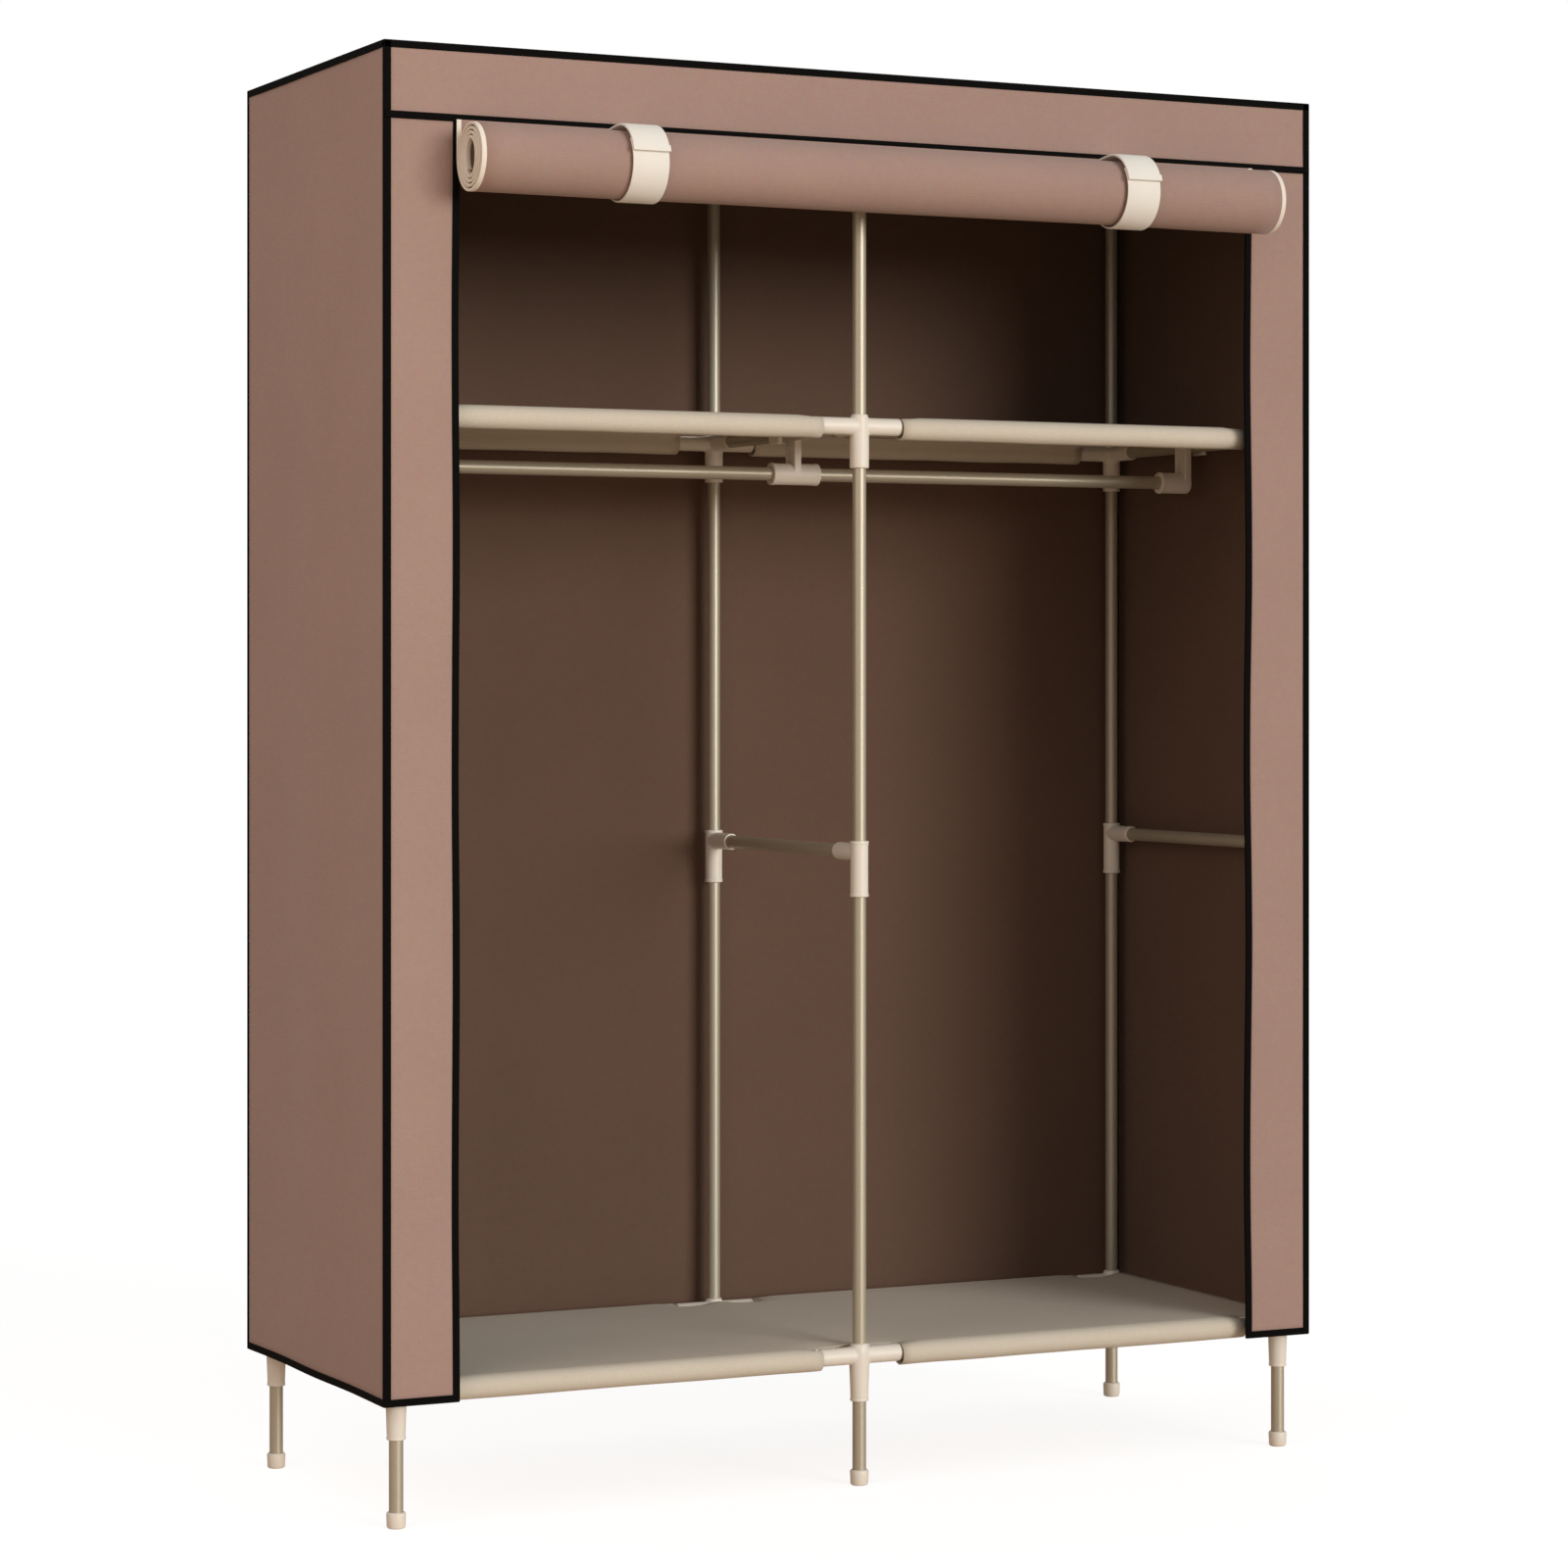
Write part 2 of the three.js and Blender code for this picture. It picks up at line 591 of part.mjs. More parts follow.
// Tubes that run front to back, and the rungs that carry their own end fittings
const levels = [
  { name: "bottom", z: BOTTOM_LEVEL },
  { name: "shelf", z: SHELF_LEVEL },
];
const middleY = (frontY + rearY) / 2;
for (const ladder of ladders) {
  for (const { name, z } of levels) {
    const tube = steelTube("y", frontY + seat, rearY - seat);
    place(`${name}_depth_tube_${ladder.name}`, tube, paintedSteel, ladder.x, 0, z);
  }
  place(`mid_rung_${ladder.name}`, midRung(), mouldedPlastic, ladder.x, middleY, MID_LEVEL);
  place(`top_rung_${ladder.name}`, topRung(ladder), mouldedPlastic, ladder.x, middleY, topLevel);
}

// Tubes that run across: one to a bay below, and one across both bays at the top
for (const row of rows) {
  for (const { name, z } of levels) {
    const left = steelTube("x", -columnX + seat, -seat);
    const right = steelTube("x", seat, columnX - seat);
    place(`${name}_width_tube_${row.name}_left`, left, paintedSteel, 0, row.y, z);
    place(`${name}_width_tube_${row.name}_right`, right, paintedSteel, 0, row.y, z);
  }
  const top = steelTube("x", -columnX, columnX);
  place(`top_width_tube_${row.name}`, top, paintedSteel, 0, row.y, topLevel);
}

// Hanging rail: two rods in three brackets that hook over the shelf's depth tubes
const rodLevel = SHELF_LEVEL - ROD_DROP;
const rodEnd = columnX - bore - CAP_FLOOR - SEAT_GAP;
const rodStop = BARREL_STOP / 2 + SEAT_GAP;
place("rod_left", steelTube("x", -rodEnd, barrelCentre - rodStop), paintedSteel, 0, middleY, rodLevel);
place("rod_right", steelTube("x", barrelCentre + rodStop, rodEnd), paintedSteel, 0, middleY, rodLevel);
place("rod_bracket_middle", middleBracket(), mouldedPlastic, 0, middleY, SHELF_LEVEL);
place("rod_bracket_left", endBracket(), mouldedPlastic, -columnX, middleY, SHELF_LEVEL);
place("rod_bracket_right", endBracket().mirror([1, 0, 0]), mouldedPlastic, columnX, middleY, SHELF_LEVEL);

// Cloth
place("shelf_cloth_bottom", shelf(), shelfCloth, 0, 0, BOTTOM_LEVEL);
place("shelf_cloth_top", shelf(), shelfCloth, 0, 0, SHELF_LEVEL);
place("cover_sides_and_back", coverWrap(), coverCloth);
place("cover_front_and_top", coverFront(), coverCloth);
place("door_web", doorWeb(), coverCloth, 0, rollY, rollZ);
place("door_roll", rolledDoor(), coverCloth, 0, rollY, rollZ);
console.log(`Least gap between the turns of the rolled door: ${leastTurnGap().toFixed(2)} mm`);

// Straps
for (const [name, side] of [
  ["left", -1],
  ["right", 1],
]) {
  const x = (side * STRAP_SPACING) / 2;
  place(`strap_tail_${name}`, strapTail(), strapTape, x, rollY, rollZ);
  place(`strap_tab_${name}`, strapTab(), strapTape, x, rollY, rollZ);
}

// Centres the outline, from the straps' fronts to the back cloth, on the origin
wardrobe.position.y = (frontReach - COVER_DEPTH) / 2;

const part = new THREE.Group();
part.add(wardrobe);

export default part;
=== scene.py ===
"""Portable fabric wardrobe: steel tube frame, moulded connectors, cloth shelves and a sewn cover."""

import functools
import itertools
import math

import bmesh
import bpy
from bpy.props import FloatProperty, FloatVectorProperty, PointerProperty
from mathutils import Matrix, Vector, noise


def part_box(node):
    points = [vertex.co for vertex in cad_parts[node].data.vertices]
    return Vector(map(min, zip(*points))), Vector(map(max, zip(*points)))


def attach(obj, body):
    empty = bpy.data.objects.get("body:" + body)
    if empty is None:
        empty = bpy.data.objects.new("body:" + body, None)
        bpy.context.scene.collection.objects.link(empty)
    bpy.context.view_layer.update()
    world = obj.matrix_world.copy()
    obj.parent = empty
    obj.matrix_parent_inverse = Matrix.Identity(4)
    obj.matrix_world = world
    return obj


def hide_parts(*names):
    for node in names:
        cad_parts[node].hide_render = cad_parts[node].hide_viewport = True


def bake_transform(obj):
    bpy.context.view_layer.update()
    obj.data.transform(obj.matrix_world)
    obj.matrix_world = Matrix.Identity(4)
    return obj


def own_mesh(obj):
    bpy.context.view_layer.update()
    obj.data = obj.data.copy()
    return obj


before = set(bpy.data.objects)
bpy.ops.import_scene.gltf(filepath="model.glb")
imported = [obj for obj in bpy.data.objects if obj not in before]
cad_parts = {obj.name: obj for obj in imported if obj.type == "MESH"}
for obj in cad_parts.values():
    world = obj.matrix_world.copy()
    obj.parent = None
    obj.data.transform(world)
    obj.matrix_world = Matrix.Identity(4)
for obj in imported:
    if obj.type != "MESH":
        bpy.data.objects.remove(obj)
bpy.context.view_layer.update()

bl_info = {
    "name": "Portable Fabric Wardrobe",
    "version": (1, 0, 0),
    "blender": (4, 5, 0),
    "location": "3D View > Sidebar > Wardrobe",
    "description": "Builds a fabric wardrobe on a frame of steel tubes, piece by piece",
    "category": "Add Mesh",
}

MM = 0.001
X, Y, Z = Vector((1, 0, 0)), Vector((0, 1, 0)), Vector((0, 0, 1))


def box_middle(node, axis):
    """The middle of a node's box along one axis."""
    low, high = (getattr(corner, axis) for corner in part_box(node))
    return (low + high) / 2


# Places read from the frame
COVER_LOW, COVER_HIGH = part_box("cover_front_and_top")
WRAP_LOW, WRAP_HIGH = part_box("cover_sides_and_back")
WEB_LOW, WEB_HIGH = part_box("door_web")
COLUMN_X = box_middle("foot_front_right", "x")
FRONT_TUBE_Y = box_middle("foot_front_right", "y")
REAR_TUBE_Y = box_middle("foot_rear_right", "y")
MIDDLE_Y = (FRONT_TUBE_Y + REAR_TUBE_Y) / 2
TUBE_SPAN = REAR_TUBE_Y - FRONT_TUBE_Y

# Levels of the tube axes
MID_RISE = 13 * MM  # from a mid-height rung's axis to the top of its sleeves
BOTTOM_Z = box_middle("bottom_depth_tube_left", "z")
MID_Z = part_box("mid_rung_left")[1].z - MID_RISE
ROD_Z = box_middle("rod_left", "z")
SHELF_Z = box_middle("shelf_depth_tube_left", "z")
TOP_TUBE_Z = box_middle("top_width_tube_front", "z")

# Cover
SEAM_THICKNESS = 3 * MM
SEAM_HEIGHT = 8 * MM
SEAM_ROUND = 0.9 * MM
SEAM_SETBACK = 0.2 * MM
SEAM_INSET = 0.5 * MM
HEADER_HEIGHT = 85 * MM
FLAP_WIDTH = 88 * MM
COVER_CLOTH = 1.2 * MM
FRONT_Y = COVER_LOW.y + SEAM_THICKNESS
BACK_Y = WRAP_HIGH.y
HALF_WIDTH = COVER_HIGH.x
HEM_Z = COVER_LOW.z
TOP_Z = COVER_HIGH.z
HEADER_Z = TOP_Z - HEADER_HEIGHT
DOORWAY = HALF_WIDTH - FLAP_WIDTH
DOORWAY_HEIGHT = HEADER_Z - HEM_Z
FRONT_LENGTH = TOP_Z - HEM_Z
TOP_LENGTH = BACK_Y - FRONT_Y
SIDE_LENGTH = WRAP_HIGH.y - WRAP_LOW.y
WRAP_CORNERS = (0, SIDE_LENGTH, SIDE_LENGTH + 2 * HALF_WIDTH, 2 * SIDE_LENGTH + 2 * HALF_WIDTH)
FOLD_DEPTH = 3.5 * MM
FOLD_HALF_WAVE_SHARE = 0.85  # how much of a half wave lies between the top and the hem
SIDE_FOLDS = 2
BACK_FOLDS = 5
SEAM_PULL = 12  # how soon the cloth gets loose beside an upright seam
FLAP_DRAW = 4 * MM
FLAP_WAVES = 3
TOP_SAG = 4 * MM
TOP_SEAM_PULL = 20

# Grids: how far apart their lines stand
WRAP_CELL = 15 * MM
FRONT_CELL = 13 * MM
FLAP_HEM_CELL = 11 * MM
BINDING_CELL = 20 * MM
DOOR_CELL = 30 * MM
WEB_CELL = 0.6 * MM
SHELF_CELL_X = 14 * MM
SHELF_CELL_Y = 7 * MM
TAIL_CELL = 5 * MM
TAB_CELL = 4 * MM

# Bindings
SHORT_LEG_SHARE = 0.55
BINDING_ROUND_SHARE = 0.4
BINDING_EDGE_SHARE = 0.6
INNER_BINDING_GAP = 3 * MM  # under the top, inside
CORNER_NUDGE = 0.001 * MM  # keeps a hem's ends on their own side of a corner

# Moulded pieces
SEAT_GAP = 0.3 * MM  # between pieces that touch
OVERRUN = 5 * MM  # how far a bore's cutter runs past its mouth
SOCKET_FLOOR = 3 * MM
ARM_LENGTH = 52 * MM
ARM_END = ARM_LENGTH + SEAT_GAP
STEM_LENGTH = 49 * MM
LEG_SOCKET_LENGTH = 53 * MM
LEG_SOCKET_WALL = 2 * MM
LEG_SOCKET_FLARE = 1.8 * MM
LEG_BEAD = 0.45 * MM
LEG_BEAD_HEIGHT = 3 * MM
BOSS_WALL = 1.3 * MM
BOSS_HEIGHT = 4 * MM
BOSS_SHOULDER = 5 * MM
BOSS_CURVE = ((0.25, 0.4), (0.7, 0.8))  # how far in and how far up, as shares of its taper
BOSS_EASE_IN, BOSS_EASE_DOWN = 0.6 * MM, 0.5 * MM
FITTING_EASE = 0.4 * MM
MID_DROP = 52 * MM
MID_WALL = 2.2 * MM
LIP_RISE = 0.5 * MM
LIP_LENGTH = 4 * MM
LIP_ROUND = 0.5 * MM
EDGE_ROUND = 0.8 * MM
ROUND_POINT_SHARE = 0.3  # where the middle point of a rounded edge lies
BURR = 0.25 * MM  # what is taken off a tube's outer edges
MERGE_DISTANCE = 0.001 * MM

# Edges that turn by more degrees than these are drawn sharp
TUBE_CREASE = 35
MOULDING_CREASE = 40
TAPE_CREASE = 40
FOOT_CREASE = 50
WEBBING_CREASE = 50

# How finely a moulding is fused, and how often its inner corners are softened
CONNECTOR_FINISH = (0.9 * MM, 5)
SLEEVE_FINISH = (0.8 * MM, 3)
BRACKET_FINISH = (0.7 * MM, 3)
HIDDEN_FINISH = (1.1 * MM, 5)

# Feet
FOOT_HEIGHT = 18 * MM
FOOT_RADIUS = 11.1 * MM
FOOT_FLOOR = 3 * MM
FOOT_BEVEL = 1.5 * MM
FOOT_TAPER = 0.7 * MM
FOOT_EASE = 0.1 * MM  # the corners are eased in steps of this

# Rail brackets
BARREL_WALL = 4.7 * MM
BARREL_LENGTH = 62 * MM
BARREL_STOP = 3 * MM
CAP_LENGTH = 41 * MM
CAP_FLOOR = 4 * MM
CAP_BACK = 1 * MM
CAP_ROUND = 1.5 * MM
HANGER_WIDTH = 26 * MM
HANGER_STEM = 9 * MM
HANGER_PRONG = 6 * MM
HANGER_RIB = 3.5 * MM
HANGER_WEB_INSET = 1.2 * MM
HANGER_ROOT = 4 * MM  # how far the stem stays solid below the prong
SADDLE_BEVEL = 2.5 * MM
PRONG_DROP = 11 * MM

# Shelf cloths
SHELF_PANEL_RISE = 10.5 * MM
SHELF_CLOTH = 1.2 * MM
SHELF_SHEET = 0.9 * MM
SLEEVE_SLACK = 2 * MM
SLEEVE_SAG = 3 * MM
SLEEVE_TURN = 300  # degrees that a sleeve goes round its tube
NOTCH_EASE = 4 * MM
SIDE_OVERHANG = 10 * MM
SHELF_LAP = 24 * MM
LAP_DEPTH = 2.6 * MM  # from the panel's top to the lap sewn under it
LAP_CLOSING = 2.2  # how soon the lap reaches the panel
PANEL_SLACK_SHARE = 0.4
NOTCH_LIP_DROP = 3.7 * MM
NOTCH_LIP_REACH = 30 * MM
NOTCH_LIP_RAMP = 8 * MM

# Rolled door
ROLL_RADIUS = 40 * MM
CORE_HALF_HEIGHT = 18.5 * MM
CORE_OVAL_SHARE = 0.67
ROLL_Y = WEB_HIGH.y - ROLL_RADIUS
ROLL_Z = WEB_LOW.z - SEAT_GAP
ROLL_DROP = HEADER_Z - ROLL_Z
DOOR_HALF_WIDTH = WEB_HIGH.x
WOUND_LENGTH = TOP_Z - HEM_Z - HEADER_HEIGHT - ROLL_DROP
MEAN_RADIUS = (ROLL_RADIUS + CORE_HALF_HEIGHT) / 2
MEAN_ROUNDNESS = (3 + CORE_OVAL_SHARE) / 4  # a middle turn's length over that of a circle
DOOR_TURNS = WOUND_LENGTH / (math.tau * MEAN_RADIUS * MEAN_ROUNDNESS)
TURN_STEPS = 44
PAIRING_SHARE = 0.026  # turns draw together two by two, as they do in a roll wound by hand
PAIRING_TIGHTNESS = 3
ROLL_WAVE = 220 * MM  # length of the unevenness along the roll
ROLL_TURN_WAVE = 0.6  # and how much of it changes round a turn
ROLL_UNEVENNESS = 0.9 * MM
ROLL_SHRINK = 0.4 * MM
LOOK_AHEAD_SHARE = 1e-4
EDGING_PROUD = 0.15 * MM
EDGING_ROUND = 0.3 * MM
EDGING_OVERHANG = 0.6 * MM
WEB_STANDOFF = 0.1 * MM
WEB_SEAM_LAP = 2 * MM

# Straps
STRAP_HALF_WIDTH = 22 * MM
STRAP_CORE = 1 * MM  # half the thickness that the frame gives a strap
TAIL_RADIUS = ROLL_RADIUS + 1.3 * MM
TAIL_END_ANGLE = 38
TAIL_ROUND = 0.7 * MM
TAB_RADIUS = ROLL_RADIUS + 3.9 * MM
TAB_END_ANGLE = 15
TAB_ROUND = 1.1 * MM
TAB_ROOT_GAP = 0.6 * MM
TAB_ROOT_DROP = 5 * MM
TAB_ROOT_CURVE = 1.5
TAB_HEM_ANGLE = 9
TAB_HEM_OVERRUN = 0.6
TAB_HEM_OVERHANG = 0.8 * MM
TAB_HEM_RISE = 1.1 * MM
TAB_HEM_ROUND = 0.7 * MM

# View and light, fitted to the photograph
CAMERA_PLACE = (-2.2486, -4.5611, 0.9399)
CAMERA_AZIMUTH = -26.03
CAMERA_LENS = 97.42
CAMERA_SENSOR = 36
CAMERA_SHIFT = -0.0676
KEY_SOFTNESS = 30
FILL_SIZE = 2.0
SKY_STRENGTH = 0.39
FLOOR_GLOW = 1.38
FLOOR_GLOW_SHARE = 0.6
FLOOR_HALF_SIZE = 60

FLAT_MAP = "flat"
WHITE = (1.0, 1.0, 1.0, 1.0)
MIX_FACTOR, MIX_FIRST, MIX_SECOND = 0, 6, 7  # the sockets of a Mix node set to colours


def linear(code):
    """An sRGB hex colour as the linear values that a shader takes."""
    channels = [int(code[at : at + 2], 16) / 255 for at in (1, 3, 5)]
    return tuple(c / 12.92 if c <= 0.04045 else ((c + 0.055) / 1.055) ** 2.4 for c in channels)


def length_value(name, description, millimetres):
    return FloatProperty(
        name=name, description=description, default=millimetres * MM, min=0.0, unit="LENGTH"
    )


def colour_value(name, description, code):
    return FloatVectorProperty(
        name=name, description=description, default=linear(code), subtype="COLOR", min=0.0, max=1.0
    )


class WardrobeSizes(bpy.types.PropertyGroup):
    tube_radius: length_value("Tube radius", "Outer radius of every steel tube", 8)
    tube_wall: length_value("Tube wall", "Wall of every steel tube", 0.6)
    bore_radius: length_value("Bore radius", "Radius of the sockets that tubes plug into", 8.3)
    arm_radius: length_value("Arm radius", "Outer radius of a connector's arms", 10.2)
    stem_radius: length_value("Stem radius", "Outer radius of a connector's stem", 11.3)
    cloth: length_value("Cloth", "Thickness that the cover's cloth is drawn with", 1.0)
    binding_leg: length_value("Binding", "Width of the black binding on the faces it covers", 7.5)
    binding: length_value("Binding thickness", "How far the black binding stands off the cloth", 0.9)
    edging: length_value("Door edging", "Width of the cream tape along the door's sides", 5.5)
    strap: length_value("Strap thickness", "Thickness of the webbing straps", 3)
    shelf_sag: length_value("Shelf sag", "How far an empty shelf cloth hangs between tubes", 3)


class WardrobeColours(bpy.types.PropertyGroup):
    cover: colour_value("Cover", "Outer side of the cover's cloth", "#ad9187")
    # Painted shade: the cloth is alike on both sides, and its inner side is drawn in this darker
    # brown to stand for the shade inside the wardrobe and inside the rolled door.
    shaded_inside: colour_value("Lining", "Inner side of the cover's cloth", "#6a5244")
    binding: colour_value("Binding", "Tape that binds the cover's seams", "#080706")
    shelf: colour_value("Shelf", "Shelf cloths", "#d9d1c1")
    edging: colour_value("Edging", "Tape along the door's sides", "#fbf4e8")
    strap: colour_value("Strap", "Webbing of the two straps", "#faf8f1")
    plastic: colour_value("Plastic", "Moulded connectors and feet", "#eeebe4")
    paint: colour_value("Paint", "Powder coat of the steel tubes", "#c3bca9")
    floor: colour_value("Floor", "Light that the studio floor throws back", "#e4c8ac")


def sizes():
    return bpy.context.scene.wardrobe_sizes


def colours():
    return bpy.context.scene.wardrobe_colours


# Materials


def add(tree, kind, inputs=None, **settings):
    """Adds a node with its settings. An input takes a value, a socket, or a node, of which it
    then takes the first output in use."""
    node = tree.nodes.new(kind)
    for name, value in settings.items():
        setattr(node, name, value)
    for name, value in (inputs or {}).items():
        if isinstance(value, bpy.types.Node):
            value = next(output for output in value.outputs if output.enabled)
        if isinstance(value, bpy.types.NodeSocket):
            tree.links.new(value, node.inputs[name])
        else:
            node.inputs[name].default_value = value
    return node


def new_material(name):
    """An empty node material and its node tree."""
    made = bpy.data.materials.new(name)
    made.use_nodes = True
    made.node_tree.nodes.clear()
    return made, made.node_tree


def opaque(colour, shade=1.0):
    """A colour times a shade, with the alpha that a colour socket takes."""
    return (*(channel * shade for channel in colour), 1.0)


def nonwoven(name, colour, by_object=False):
    """Spun non-woven polypropylene. Its point bonds give a fine even grain, their pits darkened as
    painted shade, its fibres a cloudy tone, and it is matt with a faint sheen."""
    bond_pitch = 2.6 * MM  # real bonds are about 1 mm apart, and that is too fine to show
    fibre_length = 9 * MM
    cloud_size = 140 * MM
    made, tree = new_material(name)
    if by_object:
        place = add(tree, "ShaderNodeTexCoord").outputs["Object"]
    else:
        place = add(tree, "ShaderNodeUVMap", uv_map=FLAT_MAP)
    bonds = add(
        tree,
        "ShaderNodeTexVoronoi",
        {"Vector": place, "Scale": 1 / bond_pitch, "Randomness": 0.3},
        feature="F1",
    )
    pits = add(
        tree,
        "ShaderNodeMapRange",
        {"Value": bonds, "From Min": 0.15, "From Max": 0.5},
        interpolation_type="SMOOTHSTEP",
    )
    fibres = add(
        tree,
        "ShaderNodeTexNoise",
        {"Vector": place, "Scale": 1 / fibre_length, "Detail": 5.0, "Roughness": 0.7},
    )
    clouds = add(
        tree, "ShaderNodeTexNoise", {"Vector": place, "Scale": 1 / cloud_size, "Detail": 2.0}
    )
    cloudy = add(
        tree,
        "ShaderNodeMix",
        {MIX_FACTOR: clouds, MIX_FIRST: opaque(colour, 0.8), MIX_SECOND: opaque(colour)},
        data_type="RGBA",
    )
    # Painted shade: the bond pits are drawn 14% darker for the shade in their hollows.
    pit_shaded = add(
        tree,
        "ShaderNodeMix",
        {MIX_FACTOR: pits, MIX_FIRST: opaque(colour, 0.86), MIX_SECOND: opaque(colour)},
        data_type="RGBA",
    )
    mixed = add(
        tree,
        "ShaderNodeMix",
        {MIX_FACTOR: 0.5, MIX_FIRST: cloudy, MIX_SECOND: pit_shaded},
        data_type="RGBA",
    )
    fibrous = add(
        tree,
        "ShaderNodeMix",
        {MIX_FACTOR: 0.16, MIX_FIRST: mixed, MIX_SECOND: fibres.outputs["Color"]},
        data_type="RGBA",
        blend_type="SOFT_LIGHT",
    )
    height = add(tree, "ShaderNodeMath", {0: pits, 1: fibres}, operation="ADD")
    bump = add(
        tree,
        "ShaderNodeBump",
        {"Height": height, "Strength": 0.45, "Distance": 0.25 * MM},
    )
    shader = add(
        tree,
        "ShaderNodeBsdfPrincipled",
        {
            "Base Color": fibrous,
            "Roughness": 0.86,
            "Specular IOR Level": 0.3,
            "Sheen Weight": 0.12,
            "Sheen Roughness": 0.5,
            "Normal": bump,
        },
    )
    add(tree, "ShaderNodeOutputMaterial", {"Surface": shader})
    return made


def woven_tape(
    name, colour, rib_pitch, stitch_inset, width, stitch_shade=0.75, sheen=0.15, gloss=0.25
):
    """Woven polyester tape. Ribs run across it, and a row of lock stitches shows by each edge.
    The map's first axis runs along the tape and its second across it."""
    thread_pitch = rib_pitch * 1.2
    stitch_pitch = 5 * MM
    stitch_share = 0.72
    stitch_width = 1.0 * MM
    stitch_depth = -1.5
    wear_size = 30 * MM
    made, tree = new_material(name)
    place = add(tree, "ShaderNodeUVMap", uv_map=FLAT_MAP)
    parts = add(tree, "ShaderNodeSeparateXYZ", {"Vector": place})
    terms = {"along": parts.outputs["X"], "across": parts.outputs["Y"]}
    for result, operation, *values in (
        ("rib_turn", "MULTIPLY", "along", math.tau / rib_pitch),
        ("ribs", "SINE", "rib_turn"),
        ("thread_turn", "MULTIPLY", "across", math.tau / thread_pitch),
        ("threads", "SINE", "thread_turn"),
        ("crossings", "MULTIPLY", "ribs", "threads"),
        ("weave", "MULTIPLY_ADD", "crossings", 0.5, 0.5),
        ("from_middle", "ABSOLUTE", "across"),
        ("past_row", "SUBTRACT", "from_middle", width / 2 - stitch_inset),
        ("off_row", "ABSOLUTE", "past_row"),
        ("on_row", "LESS_THAN", "off_row", stitch_width / 2),
        ("stitches", "DIVIDE", "along", stitch_pitch),
        ("in_stitch", "FRACT", "stitches"),
        ("dash", "LESS_THAN", "in_stitch", stitch_share),
        ("stitch", "MULTIPLY", "on_row", "dash"),
        ("height", "MULTIPLY_ADD", "stitch", stitch_depth, "weave"),
    ):
        inputs = {at: terms.get(value, value) for at, value in enumerate(values)}
        terms[result] = add(tree, "ShaderNodeMath", inputs, operation=operation)
    wear = add(tree, "ShaderNodeTexNoise", {"Vector": place, "Scale": 1 / wear_size, "Detail": 3.0})
    woven = add(
        tree,
        "ShaderNodeMix",
        {
            MIX_FACTOR: terms["weave"],
            MIX_FIRST: opaque(colour, 0.84),
            MIX_SECOND: opaque(colour),
        },
        data_type="RGBA",
    )
    worn = add(
        tree,
        "ShaderNodeMix",
        {MIX_FACTOR: 0.12, MIX_FIRST: woven, MIX_SECOND: wear.outputs["Color"]},
        data_type="RGBA",
        blend_type="SOFT_LIGHT",
    )
    sewn = add(
        tree,
        "ShaderNodeMix",
        {
            MIX_FACTOR: terms["stitch"],
            MIX_FIRST: worn,
            MIX_SECOND: opaque(colour, stitch_shade),
        },
        data_type="RGBA",
    )
    bump = add(
        tree,
        "ShaderNodeBump",
        {"Height": terms["height"], "Strength": 0.5, "Distance": 0.3 * MM},
    )
    shader = add(
        tree,
        "ShaderNodeBsdfPrincipled",
        {
            "Base Color": sewn,
            "Roughness": 0.78,
            "Specular IOR Level": gloss,
            "Sheen Weight": sheen,
            "Normal": bump,
        },
    )
    add(tree, "ShaderNodeOutputMaterial", {"Surface": shader})
    return made


def powder_coat(name, colour):
    """Beige powder coat with a little aluminium flake, baked on steel: it glows softly, has a
    slight orange peel, and draws one broad highlight down each tube."""
    peel = 2.2 * MM
    drift = 180 * MM
    made, tree = new_material(name)
    place = add(tree, "ShaderNodeTexCoord").outputs["Object"]
    grain = add(tree, "ShaderNodeTexNoise", {"Vector": place, "Scale": 1 / peel, "Detail": 2.0})
    uneven = add(tree, "ShaderNodeTexNoise", {"Vector": place, "Scale": 1 / drift, "Detail": 3.0})
    shade = add(
        tree,
        "ShaderNodeMix",
        {MIX_FACTOR: uneven, MIX_FIRST: opaque(colour, 0.87), MIX_SECOND: opaque(colour)},
        data_type="RGBA",
    )
    gloss = add(tree, "ShaderNodeMapRange", {"Value": uneven, "To Min": 0.36, "To Max": 0.46})
    bump = add(
        tree,
        "ShaderNodeBump",
        {"Height": grain, "Strength": 0.12, "Distance": 0.1 * MM},
    )
    shader = add(
        tree,
        "ShaderNodeBsdfPrincipled",
        {
            "Base Color": shade,
            "Metallic": 0.4,
            "Roughness": gloss,
            "Coat Weight": 0.12,
            "Coat Roughness": 0.35,
            "Normal": bump,
        },
    )
    add(tree, "ShaderNodeOutputMaterial", {"Surface": shader})
    return made


